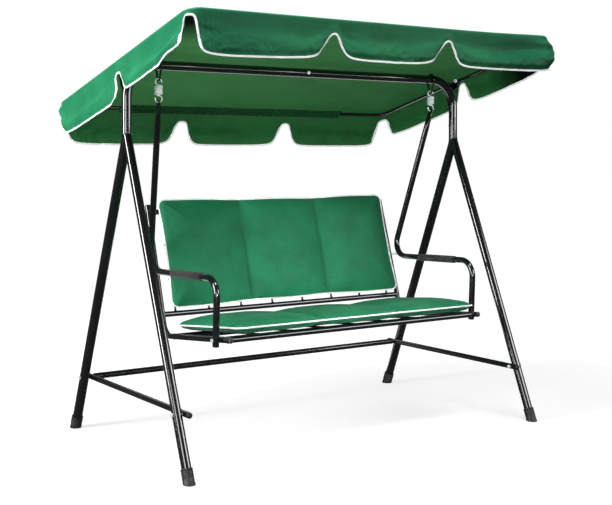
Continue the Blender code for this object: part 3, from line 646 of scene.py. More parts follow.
def hexagon_rings(start, axis, low, high, corner_r, chamfer_top, chamfer_bottom, count=48):
    """Rings of a hexagon head or nut whose corners are chamfered by a cone."""
    across, other = axes_across(axis)
    flat = corner_r * math.cos(math.pi / 6)
    turns = [2 * math.pi * k / count for k in range(count)]

    def reach(a):
        return flat / math.cos((a % (math.pi / 3)) - math.pi / 6)

    def ring(height, radius_of):
        points = []
        for a in turns:
            r, h = radius_of(a), height(a)
            points.append(start + axis * h + across * (r * math.cos(a)) + other * (r * math.sin(a)))
        return points

    slope = math.tan(math.radians(28))
    disc = flat * 0.97
    rings = []
    if chamfer_bottom:
        rings.append(ring(lambda a: low, lambda a: disc))
        rings.append(ring(lambda a: low + (reach(a) - disc) * slope, reach))
    else:
        rings.append(ring(lambda a: low, reach))
    if chamfer_top:
        rings.append(ring(lambda a: high - (reach(a) - disc) * slope, reach))
        rings.append(ring(lambda a: high, lambda a: disc))
        rings.append(ring(lambda a: high, lambda a: disc * 0.5))
    else:
        rings.append(ring(lambda a: high, reach))
    return rings


def thread_rings(start, axis, low, high, radius, pitch=0.00125, count=24):
    """A screw thread's visible end."""
    across, other = axes_across(axis)
    steps = max(4, round((high - low) / (pitch / 4)))
    rings = []
    for k in range(steps + 1):
        h = low + (high - low) * k / steps
        wave = radius * (0.94 + 0.06 * math.cos(math.pi * k / 2))
        if k == steps:
            wave = radius * 0.8
        rings.append(ring_at((start + axis * h, across, other), wave, wave, count))
    return rings


def bolt_piece(name, surface, axis, grip, body, nut=True):
    """A hexagon-headed zinc bolt with its head on surface and its nut grip further along axis."""
    shell = Shell()
    shell.rings(hexagon_rings(surface, -axis, GAP, BOLT_HEAD_H, BOLT_HEAD_R, True, False))
    turned(shell, surface, axis, [(-0.002, BOLT_R), (grip, BOLT_R)], 24)
    if nut:
        start = grip + GAP
        shell.rings(hexagon_rings(surface, axis, start, start + NUT_H, BOLT_HEAD_R, True, True))
        shell.rings(thread_rings(surface, axis, start, start + NUT_H + 0.004, BOLT_R))
    return shell.piece(name, ZINC, body, "zinc", [name.replace("detailed_", "")], smooth=30)


# ---------------------------------------------------------------- main frame
def crossbar():
    """Two bent halves of the top tube, sleeved together and bolted at the middle seam."""
    for word, hand in SIDES.items():
        seam = CROSSBAR_SEAM_X + hand * GAP
        corner = Vector((hand * LEG_X, 0, CROSSBAR_Z))
        socket = Vector((hand * LEG_X, 0, SOCKET_Z))
        path = rounded_path([Vector((seam, 0, CROSSBAR_Z)), corner, socket], CROSSBAR_BEND, 28)
        shell = Shell()
        shell.rings(tube_rings(path, Y, MAIN_R, 48, lip=0.0010))
        if hand < 0:
            spigot = [Vector((seam - 0.02, 0, CROSSBAR_Z)), Vector((seam + 0.05, 0, CROSSBAR_Z))]
            shell.rings(tube_rings(spigot, Y, MAIN_R - WALL - 0.0002, 48))
        shell.piece(f"crossbar_{word}_tube", BLACK, "frame", "black_paint", [f"crossbar_{word}"])
    bolt_piece("detailed_crossbar_bolt", Vector((0, -MAIN_R, CROSSBAR_Z)), Y, 2 * MAIN_R, "frame")


def leg_y(facing, z):
    """The leg's centre line at height z: -1 is the front leg, 1 the rear one."""
    if facing < 0:
        return -(FORK_Z - z) * math.tan(LEG_ANGLE)
    straight = FORK_Z - REAR_LEG_BEND * math.sin(LEG_ANGLE) - z
    return REAR_LEG_BEND * (1 - math.cos(LEG_ANGLE)) + straight * math.tan(LEG_ANGLE)


def leg_point(hand, facing, z):
    """A point on a leg's centre line."""
    return Vector((hand * LEG_X, leg_y(facing, z), z))


def legs():
    """Rear legs with their bend, front legs cut to fit against them, feet and socket bolts."""
    for word, hand in SIDES.items():
        bend = FORK_Z - REAR_LEG_BEND * math.tan(LEG_ANGLE / 2)
        corners = [(0, SOCKET_Z - GAP), (0, bend), (leg_y(1, LEG_END_Z), LEG_END_Z)]
        path = rounded_path([Vector((hand * LEG_X, y, z)) for y, z in corners], REAR_LEG_BEND)
        shell = Shell()
        shell.rings(tube_rings(path, X, MAIN_R, 48, lip=0.0010))
        core = [Vector((hand * LEG_X, 0, SOCKET_Z + d)) for d in (0.02, -0.05)]
        shell.rings(tube_rings(core, X, MAIN_R - WALL - 0.0002, 48))
        nodes = [f"{word}_rear_leg"]
        rear = shell.piece(f"{word}_rear_leg_tube", BLACK, "frame", "black_paint", nodes)
        direction = (leg_point(hand, -1, FORK_Z) - leg_point(hand, -1, 0)).normalized()
        start = leg_point(hand, -1, LEG_END_Z)
        ring = coped_ring(start, direction, X, FRONT_LEG_R, bvh_of(rear))
        shell = Shell()
        foot_ring = ring_at((start, X, direction.cross(X)), FRONT_LEG_R, FRONT_LEG_R, 48)
        shell.rings([foot_ring, ring])
        bead(shell, ring)
        shell.piece(f"{word}_front_leg_tube", BLACK, "frame", "black_paint", [f"{word}_front_leg"])
        foot(f"{word}_rear_foot", hand, 1, MAIN_R)
        foot(f"{word}_front_foot", hand, -1, FRONT_LEG_R)
        surface = Vector((hand * LEG_X, MAIN_R, SOCKET_Z - SOCKET_SPIGOT / 2))
        bolt_piece(f"detailed_{word}_socket_bolt", surface, -Y, 0.008, "frame", nut=False)


def foot(name, hand, facing, leg_r):
    """A moulded cap on the leg's end: a rolled rim, three grip ribs, and a flat sole."""
    axis = (leg_point(hand, facing, 0.1) - leg_point(hand, facing, 0)).normalized()
    base = leg_point(hand, facing, 0)
    other = axis.cross(X)
    full = leg_r + FOOT_WALL
    top = FOOT_HEIGHT / axis.z
    count = 48
    shell = Shell()
    waist, rib = full - 0.0007, full + 0.0001
    stations = [(1.0, leg_r + 0.0004), (1.008, leg_r + 0.0012), (1.010, full - 0.0012)]
    stations += [(0.995, full - 0.0003), (0.965, full), (0.925, full)]
    stations += [(0.905, waist), (0.80, waist)]
    for share in (0.78, 0.64, 0.50):
        stations += [(share, waist), (share - 0.02, rib)]
        stations += [(share - 0.05, rib), (share - 0.07, waist)]
    rings = [ring_at((base + axis * (top * share), X, other), r, r, count) for share, r in stations]
    sole = [(waist, 0.0085), (rib, 0.0070), (rib, 0.0012), (full - 0.0012, 0.0), (full * 0.5, 0.0)]
    for r, height in sole:
        ring = ring_at((base, X, other), r, r, count)
        rings.append([start + axis * ((height - start.z) / axis.z) for start in ring])
    shell.rings(rings)
    shell.piece(f"{name}_cap", PLASTIC, "frame", "black_plastic", [name])


def plug(shell, end, outwards, radius):
    """A domed plastic plug in a tube's end."""
    stations = [(-0.012, radius - 0.0016), (0.0001, radius - 0.0014), (0.0001, radius - 0.0001)]
    stations += [(0.0012, radius), (0.0026, radius - 0.0006), (0.0036, radius - 0.0024)]
    stations += [(0.0041, radius * 0.5), (0.0043, radius * 0.1)]
    turned(shell, end, outwards, stations)


def leg_braces():
    """Side braces across each pair of legs, and the stretcher between the rear legs."""
    stretcher_half = LEG_X - MAIN_R - 2 * BRACE_R - 2 * GAP
    for word, hand in SIDES.items():
        x = hand * (LEG_X - MAIN_R - BRACE_R - GAP)
        ends = [Vector((x, leg_y(f, BRACE_Z) + f * BRACE_OVERHANG, BRACE_Z)) for f in (-1, 1)]
        smooth_tube(f"{word}_leg_brace_tube", ends, Z, BRACE_R, "frame", [f"{word}_leg_brace"])
        shell = Shell()
        for end, away in zip(ends, (-Y, Y)):
            plug(shell, end, away, BRACE_R)
        shell.piece(f"{word}_leg_brace_plugs", PLASTIC, "frame", "black_plastic")
        for facing, end, leg_r in ((-1, "front", FRONT_LEG_R), (1, "rear", MAIN_R)):
            surface = Vector((hand * (LEG_X + leg_r), leg_y(facing, BRACE_Z), BRACE_Z))
            grip = leg_r + LEG_X - abs(x) + BRACE_R
            if facing > 0:
                grip += 0.02
            name = f"detailed_{word}_{end}_brace_bolt"
            bolt_piece(name, surface, -hand * X, grip, "frame", nut=facing < 0)
    y = leg_y(1, BRACE_Z)
    ends = [Vector((side * stretcher_half, y, BRACE_Z)) for side in (-1, 1)]
    smooth_tube("rear_stretcher_tube", ends, Z, STRETCHER_R, "frame", ["rear_stretcher"])


def brackets():
    """The canopy's brackets: the CAD plates with worked edges."""
    for word, _ in SIDES.items():
        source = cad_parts[f"{word}_canopy_bracket"]
        bm = bmesh.new()
        bm.from_mesh(source.data)
        bmesh.ops.remove_doubles(bm, verts=bm.verts, dist=1e-6)
        bmesh.ops.dissolve_limit(bm, angle_limit=math.radians(2), verts=bm.verts, edges=bm.edges)
        shared = [e for e in bm.edges if len(e.link_faces) == 2]
        sharp = [e for e in shared if e.calc_face_angle() > math.radians(30)]
        rounding = dict(offset=0.0006, segments=2, profile=0.6, clamp_overlap=True)
        bmesh.ops.bevel(bm, geom=sharp, affect="EDGES", **rounding)
        mesh = bpy.data.meshes.new(f"{word}_canopy_plate")
        bm.to_mesh(mesh)
        bm.free()
        mesh.materials.clear()
        mesh.materials.append(BLACK)
        mesh.shade_smooth()
        mesh.set_sharp_from_angle(angle=math.radians(40))
        made = bpy.data.objects.new(f"{word}_canopy_plate", mesh)
        bpy.context.scene.collection.objects.link(made)
        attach(made, "frame")
        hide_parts(f"{word}_canopy_bracket")


# ---------------------------------------------------------------- canopy frame
def canopy_point(u, v, w=0.0):
    """A point in the canopy's own tilted plane: u across, v towards the rear, w up from it."""
    c, s = math.cos(CANOPY_TILT), math.sin(CANOPY_TILT)
    return Vector((u, v * c + w * s, CANOPY_AXIS_Z - v * s + w * c))


CANOPY_UP = Vector((0, math.sin(CANOPY_TILT), math.cos(CANOPY_TILT)))
JOINER_GAP = 0.009
JOINER_HALF = 0.055


def canopy_frame():
    """The two bows, their joiners, and the pivots at the brackets."""
    for word, facing in (("front", -1), ("rear", 1)):
        near, far = facing * JOINER_GAP, facing * CANOPY_Y
        outline = [(-CANOPY_X, near), (-CANOPY_X, far), (CANOPY_X, far), (CANOPY_X, near)]
        path = rounded_path([canopy_point(u, v) for u, v in outline], CANOPY_CORNER, 20)
        nodes = [f"canopy_{word}_tube"]
        smooth_tube(f"canopy_{word}_bow", path, CANOPY_UP, CANOPY_R, "canopy", nodes, 28)
    for word, hand in SIDES.items():
        joiner_r = CANOPY_R - WALL - GAP
        ends = [canopy_point(hand * CANOPY_X, v) for v in (-JOINER_HALF, JOINER_HALF)]
        nodes = [f"{word}_canopy_joiner"]
        smooth_tube(f"{word}_joiner_tube", ends, CANOPY_UP, joiner_r, "canopy", nodes, 28)
        centre = canopy_point(hand * CANOPY_X, 0)
        inwards = -hand * X
        grip = CANOPY_X + joiner_r - BRACKET_OUTER_X + 0.004 + GAP
        shell = Shell()
        start = centre - inwards * joiner_r
        head = [(-0.0015, 0.001), (-0.0014, 0.0030), (-0.0009, 0.0043), (-0.0004, 0.0050)]
        washer = [(0, 0.0086), (0.0002, 0.009), (0.0014, 0.009), (WASHER_H, 0.0086)]
        turned(shell, start, inwards, head)
        turned(shell, start, inwards, [(-0.0004, 0.0050), (-GAP, 0.0050)])
        turned(shell, start, inwards, [(-0.001, BOLT_R), (grip, BOLT_R)], 24)
        turned(shell, start, inwards, [(grip + a, r) for a, r in washer])
        nut, end = grip + WASHER_H, grip + WASHER_H + NUT_H
        shell.rings(hexagon_rings(start, inwards, nut, end, BOLT_HEAD_R, True, True))
        shell.rings(thread_rings(start, inwards, grip + 0.004, end + 0.0004, BOLT_R))
        nodes = [f"{word}_pivot_bolt"]
        shell.piece(f"{word}_detailed_pivot_bolt", ZINC, "canopy", "zinc", nodes, smooth=30)
        length = CANOPY_X - joiner_r - BRACKET_OUTER_X - 2 * GAP
        sleeve = [(0, 0.0072), (0.0008, 0.008), (length - 0.0008, 0.008), (length, 0.0072)]
        nodes = [f"{word}_pivot_spacer"]
        shell = Shell()
        turned(shell, centre + inwards * (joiner_r + GAP), inwards, sleeve)
        shell.piece(f"{word}_pivot_sleeve", PLASTIC, "canopy", "black_plastic", nodes)


# ---------------------------------------------------------------- canopy cloth
FRONT, RIGHT, REAR, LEFT = range(4)
# Each notch: the side it belongs to, its kind, its place from that side's middle (from its first
# corner for a corner notch), and its bells. A bell is a share of the valance's depth, then a half
# width and a steepness before and after its centre, counted anticlockwise seen from above.
NOTCHES = [
    (FRONT, "corner", -0.003, [(0.690, 0.019, 7.0, 0.0245, 6.0), (0.187, 0.138, 7.0, 0.036, 2.2)]),
    (RIGHT, "corner", 0.030, [(0.680, 0.028, 6.0, 0.030, 6.0), (0.150, 0.045, 2.5, 0.045, 2.5)]),
    (REAR, "corner", 0.0, [(0.600, 0.033, 5.0, 0.031, 5.0), (0.165, 0.045, 2.5, 0.045, 2.5)]),
    (LEFT, "corner", 0.0, [(0.540, 0.033, 5.0, 0.050, 4.0), (0.177, 0.045, 2.5, 0.060, 2.5)]),
    (FRONT, "bell", -0.264, [(0.641, 0.044, 2.9, 0.0245, 2.3)]),
    (FRONT, "bell", 0.284, [(0.680, 0.048, 2.5, 0.0285, 2.8)]),
    (REAR, "arch", -0.274, [(0.656, 0.036, 4.0, 0.040, 3.0)]),
    (REAR, "arch", 0.280, [(0.656, 0.038, 4.4, 0.040, 3.0)]),
    (LEFT, "slot", 0.014, [(0.665, 0.020, 3.4, 0.052, 3.4)]),
    (RIGHT, "slot", -0.012, [(0.837, 0.040, 3.4, 0.025, 3.0)]),
]


def notch_share(distance, bells):
    """Share of the valance's depth that a notch takes away at each distance from it."""
    total = 0.0
    for share, before, steep_before, after, steep_after in bells:
        width = np.where(distance < 0, before, after)
        steep = np.where(distance < 0, steep_before, steep_after)
        total = total + share / (1 + (np.abs(distance) / width) ** steep)
    return total


def value_noise(a, b, seed):
    """Smooth deterministic noise from -1 to 1 of two coordinates."""

    def corner(i, j):
        wave = np.sin(i * 127.1 + j * 311.7 + seed * 74.7) * 43758.5453
        return (wave - np.floor(wave)) * 2 - 1

    i, j = np.floor(a), np.floor(b)
    fa, fb = a - i, b - j
    fa, fb = fa * fa * (3 - 2 * fa), fb * fb * (3 - 2 * fb)
    low = corner(i, j) * (1 - fa) + corner(i + 1, j) * fa
    high = corner(i, j + 1) * (1 - fa) + corner(i + 1, j + 1) * fa
    return low * (1 - fb) + high * fb


def bump(x, width):
    """1 where x is 0, falling off smoothly on both sides."""
    return np.exp(-((x / width) ** 2))


def smooth_step(x, low, high):
    """0 below one limit, 1 above the other, smooth between."""
    t = np.clip((x - low) / (high - low), 0, 1)
    return t * t * (3 - 2 * t)


class Cloth:
    """The canopy's cloth as a surface: s runs round its edge from the front left corner, and
    depth runs down the valance from the tube. The roof is the part inside the tube."""

    def __init__(self):
        self.wrap_r = CANOPY_R + CLOTH_GAP
        self.quarter = (CANOPY_CORNER + self.wrap_r) * math.pi / 4
        lengths = [2 * (CANOPY_X - CANOPY_CORNER), 2 * (CANOPY_Y - CANOPY_CORNER)] * 2
        self.spans = [length + 2 * self.quarter for length in lengths]
        self.starts = np.concatenate([[0.0], np.cumsum(self.spans)])
        self.total = float(self.starts[-1])
        self.notches = []
        for side, kind, shift, bells in NOTCHES:
            middle = 0.0 if kind == "corner" else self.spans[side] / 2
            self.notches.append((float(self.starts[side]) + middle + shift, bells, kind, side))

    def apart(self, s, at):
        """Signed distance along the edge from a place on it."""
        return (s - at + self.total / 2) % self.total - self.total / 2

    def side_share(self, s, side, blend=0.03):
        """1 on one side of the canopy, 0 on the others, smooth at the corners."""
        middle = self.starts[side] + self.spans[side] / 2
        return smooth_step(self.spans[side] / 2 - np.abs(self.apart(s, middle)), -blend, blend)

    def hang(self, s):
        """How far the valance hangs at each distance along the edge."""
        s = np.asarray(s, float)
        from_left = self.apart(s, self.starts[FRONT])
        front = 0.1425 + 0.0110 * (1 - smooth_step(from_left, 0.10, 0.60))
        from_middle = self.apart(s, self.starts[LEFT] + self.spans[LEFT] / 2)
        left = 0.148 - 0.012 * smooth_step(from_middle, -0.02, 0.03)
        full = front * self.side_share(s, FRONT) + left * self.side_share(s, LEFT)
        full += 0.123 * self.side_share(s, RIGHT) + 0.157 * self.side_share(s, REAR)
        shares = sum(self.side_share(s, side) for side in range(4))
        cut = sum(notch_share(self.apart(s, at), bells) for at, bells, _, _ in self.notches)
        return full / shares * (1 - cut)

    def hang_slope(self, s):
        """Slope of the valance's edge."""
        step = 0.0004
        return (self.hang(s + step) - self.hang(s - step)) / (2 * step)

    def plan(self, s):
        """Centre-line point and outward direction in the canopy plane, at each distance."""
        s = np.asarray(s, float) % self.total
        u, v, ou, ov = (np.zeros_like(s) for _ in range(4))
        ways = [
            lambda a, b: (a, b),
            lambda a, b: (-b, a),
            lambda a, b: (-a, -b),
            lambda a, b: (b, -a),
        ]
        halves = [(CANOPY_X, CANOPY_Y), (CANOPY_Y, CANOPY_X)] * 2
        for k in range(4):
            at = s - self.starts[k]
            here = (at >= 0) & ((at < self.spans[k]) | (k == 3))
            along = at[here]
            inner_a, inner_b = halves[k][0] - CANOPY_CORNER, halves[k][1] - CANOPY_CORNER
            from_end = self.spans[k] - along
            turn = np.where(along < self.quarter, 1 - along / self.quarter, 0.0)
            turn = np.where(from_end < self.quarter, from_end / self.quarter - 1, turn)
            turn = turn * math.pi / 4
            centre = np.clip(along - self.quarter - inner_a, -inner_a, inner_a)
            out_a, out_b = -np.sin(turn), -np.cos(turn)
            a, b = centre + CANOPY_CORNER * out_a, -inner_b + CANOPY_CORNER * out_b
            u[here], v[here] = ways[k](a, b)
            ou[here], ov[here] = ways[k](out_a, out_b)
        return u, v, ou, ov

    def world(self, u, v, w):
        """Points in the canopy's tilted plane, in the shared frame."""
        c, s = math.cos(CANOPY_TILT), math.sin(CANOPY_TILT)
        return np.stack([u, v * c + w * s, CANOPY_AXIS_Z - v * s + w * c], -1)

    def corner_near(self, s, reach, weights=(1, 1, 1, 1)):
        """How near each distance is to a corner, with a weight for each corner."""
        near = [bump(self.apart(s, at), reach) for at in self.starts[:4]]
        return sum(weight * share for weight, share in zip(weights, near))

    def lift(self, s):
        """The cloth stands a little higher on the tubes near the corners: its seams bunch there."""
        return self.corner_near(s, 0.24, (0.0005, 0.0075, 0.002, 0.0))

    def roof_height(self, u, v, s):
        """The roof's height over the canopy plane: a soft hipped ridge, shallow sags, ripples."""
        along = np.clip((CANOPY_X - np.abs(u)) / (CANOPY_X - RIDGE_HALF_LENGTH), 0, 1.3)
        across = np.clip(1 - np.abs(v) / CANOPY_Y, 0, 1)
        sharp = 16.0
        soft = np.clip(-np.log(np.exp(-sharp * along) + np.exp(-sharp * across)) / sharp, 0, 1)
        height = self.wrap_r + RIDGE_RISE * soft
        sag = -0.0030 * np.sin(math.pi * across) * np.clip(along, 0, 1)
        ripple = 0.0012 * value_noise(u * 7, v * 3.5 + 5, 1)
        ripple += 0.0006 * value_noise(u * 19, v * 9, 2)
        edge = np.clip(np.minimum(along, across) * 5, 0, 1)
        pull = 0.0009 * np.sin(u * 62 + 1.5 * np.sin(v * 9)) * bump(across - 0.12, 0.10)
        lift = self.lift(s) * smooth_step(1 - np.minimum(along, across * 3), 0.2, 1.0)
        return height + (sag + ripple) * edge + pull * np.clip(along, 0, 1) + lift

    def stand_out(self, s, depth):
        """How far the valance stands out from a plumb line: swags, folds and puckers."""
        hang, slope = self.hang(s), self.hang_slope(s)
        t = depth / np.maximum(hang, 1e-4)
        from_edge = (hang - depth) / np.sqrt(1 + slope**2)
        full = smooth_step(hang, 0.05, 0.13)
        waver = 0.10 * value_noise(s * 4.3, 2.0, 8)
        swag = -0.0085 * smooth_step(t, 0.02, 0.42)
        swag += 0.0215 * smooth_step(t, 0.40 + waver, 0.74 + waver)
        swag -= 0.0085 * smooth_step(t, 0.80, 0.97)
        out = swag * (0.85 + 0.45 * value_noise(s * 3.1, 0.0, 3)) * full
        for at, _, kind, side in self.notches:
            out += self.notch_folds(self.apart(s, at), at, kind, side, depth, t, from_edge)
        round_out = self.corner_near(s, 0.075, (0.0, 0.022, 0.004, 0.011))
        round_out *= smooth_step(depth, 0.0, 0.030)
        out += round_out * (1 - 0.65 * smooth_step(t, 0.45, 1.0))
        half = self.apart(s, self.starts[LEFT] + self.spans[LEFT] / 2)
        flare = self.side_share(s, LEFT) * smooth_step(half, 0.04, 0.16)
        out += 0.015 * flare * smooth_step(t, 0.15, 1.0)
        out += 0.0026 * value_noise(s * 11, depth * 17 + 3, 4) * smooth_step(t, 0.10, 0.5)
        crumple = 0.4 - np.abs(value_noise(s * 19 + depth * 26, depth * 22 - s * 8, 5))
        finer = 0.4 - np.abs(value_noise(s * 43 - depth * 30, depth * 47 + s * 12, 9))
        creased = smooth_step(t, 0.28, 0.6) * (0.35 + 0.65 * full)
        out += (0.0042 * crumple + 0.0016 * finer) * creased
        jitter = 0.35 * value_noise(s / PUCKER_SPACING, 0.0, 6)
        pucker = np.cos(math.pi * (s / PUCKER_SPACING + jitter)) ** 6
        deep = 0.55 + 0.45 * value_noise(s / PUCKER_SPACING * 0.9, 4.0, 7)
        out -= 0.0030 * pucker * deep * bump(from_edge - 0.0135, 0.006) * full
        gather = self.corner_near(s, 0.065) * bump(depth - 0.010, 0.028)
        phase = 2 * math.pi * s / GATHER_SPACING + 2 * value_noise(s * 30, 0.0, 11)
        return out + 0.0024 * gather * np.cos(phase)

    def notch_folds(self, away, at, kind, side, depth, t, from_edge):
        """Folds that run out from a notch, and the way its hem turns in or out."""
        below = depth - 0.045
        reach = np.hypot(away, below)
        angle = np.arctan2(below, np.abs(away) + 1e-6)
        near = bump(reach - 0.080, 0.050) * smooth_step(below, -0.02, 0.03)
        phase = 1.3 * math.sin(at * 9.7) + 0.35 * np.where(away > 0, 1.0, -1.0)
        out = 0.0030 * near * np.cos(5.2 * angle + phase)
        out += 0.0012 * near * np.cos(12.5 * angle - 2 * phase)
        if kind == "bell":
            lower = smooth_step(t, 0.35, 0.85)
            hem = np.exp(-from_edge / 0.010)
            out += bump(away + 0.052, 0.026) * lower * (-0.004 - 0.011 * hem)
            out += bump(away - 0.042, 0.024) * lower * (-0.003 + 0.004 * hem)
        elif kind == "slot" and side == LEFT:
            tuck = bump(away, 0.034) * smooth_step(depth, 0.050, 0.105)
            tuck *= 1 - smooth_step(depth, 0.120, 0.146) * (away < 0)
            out += -0.019 * tuck * (1 - smooth_step(away, 0.0, 0.05))
        return out

    def valance(self, s, depth):
        """Points of the valance's surface."""
        u, v, ou, ov = self.plan(s)
        lift = self.lift(s)
        top = self.world(u + ou * self.wrap_r, v + ov * self.wrap_r, lift * 0.5)
        out3 = np.stack([ou, ov * math.cos(CANOPY_TILT), np.zeros_like(ou)], -1)
        out3 /= np.linalg.norm(out3, axis=-1, keepdims=True)
        out = self.stand_out(s, np.asarray(depth, float)) - self.stand_out(s, np.zeros_like(s))
        place = top + out3 * out[..., None]
        place[..., 2] -= depth
        return place

    def stations(self, count):
        """Distances spaced evenly along the scalloped edge."""
        dense = np.linspace(0, self.total, 24001)
        marks = np.sqrt(1 + (0.75 * self.hang_slope(dense[:-1])) ** 2) * np.diff(dense)
        marks = np.concatenate([[0.0], np.cumsum(marks)])
        return np.interp(np.linspace(0, marks[-1], count, endpoint=False), marks, dense)

    def rows(self, s, roof_rows, wrap_rows, valance_rows):
        """Rows of points from the ridge to the edge, and their places on the flat cloth."""
        points, flat = [], []
        u, v, ou, ov = self.plan(s)
        ridge_u = np.clip(u, -RIDGE_HALF_LENGTH, RIDGE_HALF_LENGTH)
        for share in np.linspace(0, 1, roof_rows + 1) ** 0.85:
            a, b = ridge_u + (u - ridge_u) * share, v * share
            points.append(self.world(a, b, self.roof_height(a, b, s)))
            flat.append(np.stack([a, b], -1))
        edge_flat, outward = flat[-1], np.stack([ou, ov], -1)
        lift = self.lift(s)
        for k in range(1, wrap_rows + 1):
            turn = math.pi / 2 * (1 - k / wrap_rows)
            reach, up = self.wrap_r * math.cos(turn), self.wrap_r * math.sin(turn)
            rise = lift * (0.5 + 0.5 * math.sin(turn))
            points.append(self.world(u + ou * reach, v + ov * reach, up + rise))
            flat.append(edge_flat + outward * (self.wrap_r * math.pi / 2 * k / wrap_rows))
        hang = self.hang(s)
        for k in range(1, valance_rows + 1):
            depth = hang * k / valance_rows
            points.append(self.valance(s, depth))
            flat.append(edge_flat + outward * (self.wrap_r * math.pi / 2 + depth)[:, None])
        return np.stack(points), np.stack(flat)


def canopy_cloth(cloth, count=1500):
    """One sheet from the roof's ridge, over the tubes, to the scalloped edge."""
    s = cloth.stations(count)
    points, flat = cloth.rows(s, 30, 5, 42)
    ridge_u = np.linspace(-RIDGE_HALF_LENGTH, RIDGE_HALF_LENGTH, 161)
    ridge_of = np.abs(ridge_u[None, :] - flat[0][:, :1]).argmin(1)
    none = np.zeros_like(ridge_u)
    ridge = cloth.world(ridge_u, none, cloth.roof_height(ridge_u, none, none))
    bm = bmesh.new()
    verts = [bm.verts.new(p) for p in ridge] + [bm.verts.new(p) for p in points[1:].reshape(-1, 3)]
    places = [(u, 0.0) for u in ridge_u] + [tuple(p) for p in flat[1:].reshape(-1, 2)]
    layer = bm.loops.layers.uv.new("UVMap")

    def vertex(row, column):
        return int(ridge_of[column]) if row == 0 else len(ridge_u) + (row - 1) * count + column

    for j in range(len(points) - 1):
        for k in range(count):
            after = (k + 1) % count
            corners = [vertex(j, k), vertex(j + 1, k), vertex(j + 1, after), vertex(j, after)]
            corners = list(dict.fromkeys(corners))
            for loop, at in zip(bm.faces.new([verts[c] for c in corners]).loops, corners):
                loop[layer].uv = places[at]
    mesh = bpy.data.meshes.new("canopy_cloth")
    bm.to_mesh(mesh)
    bm.free()
    mesh.materials.append(GREEN)
    mesh.materials.append(GREEN_INNER_SHADED)
    mesh.shade_smooth()
    made = bpy.data.objects.new("canopy_cloth", mesh)
    bpy.context.scene.collection.objects.link(made)
    thick = made.modifiers.new("thickness", "SOLIDIFY")
    thick.thickness = CLOTH_THICKNESS
    thick.offset = 0
    thick.material_offset = 1
    apply_modifiers(made)
    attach(made, "canopy")
    valances = [f"{word}_valance" for word in ("front", "rear", "left", "right")]
    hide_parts("canopy_roof", *valances)
    return made


def along_edge(cloth, s, inward):
    """Surface points and outward normals at a distance in from the scalloped edge."""
    slope = cloth.hang_slope(s)
    scale = 1 / np.sqrt(1 + slope**2)
    at, depth = s + inward * slope * scale, cloth.hang(s) - inward * scale
    step = 0.0012
    here = cloth.valance(at, depth)
    across = cloth.valance(at + step, depth) - cloth.valance(at - step, depth)
    down = cloth.valance(at, depth + step) - cloth.valance(at, depth - step)
    normal = np.cross(across, down)
    normal /= np.linalg.norm(normal, axis=-1, keepdims=True)
    _, _, ou, ov = cloth.plan(at)
    outward = np.stack([ou, ov, np.zeros_like(ou)], -1)
    normal *= np.sign((normal * outward).sum(-1, keepdims=True))
    return here, normal


def canopy_binding(cloth, count=2600):
    """White tape folded over the scalloped edge, all round the canopy."""
    s = cloth.stations(count)
    half = CLOTH_THICKNESS / 2 + 0.0006
    steps = np.linspace(BINDING_WIDTH, 0.0, 6)
    face = [(h, half if h < BINDING_WIDTH else half - 0.0004) for h in steps]
    section = face + [(-0.0007, half * 0.7), (-0.0007, -half * 0.7)]
    section += [(h, -t) for h, t in reversed(face)]
    rings = []
    for inward, thick in section:
        here, normal = along_edge(cloth, s, inward)
        rings.append(here + normal * thick)
    rings = np.stack(rings, 1)
    edge = cloth.valance(s, cloth.hang(s))
    lengths = np.concatenate([[0.0], np.cumsum(np.linalg.norm(np.diff(edge, axis=0), axis=1))])
    width = len(section)
    uvs = [(length, max(h, 0.0)) for length in lengths for h, _ in section]
    faces = []
    for k in range(count):
        after = (k + 1) % count
        for j in range(width):
            other = (j + 1) % width
            a, b = k * width, after * width
            faces.append((a + j, a + other, b + other, b + j))
    points = rings.reshape(-1, 3)
    return cloth_strip("canopy_binding", points, faces, WHITE, uvs, smooth=50)


def cloth_strip(name, points, faces, look, uvs, smooth=35):
    """A sewn strip that moves with the canopy's cloth."""
    return new_piece(name, points, faces, look, "canopy", uvs=uvs, smooth=smooth)


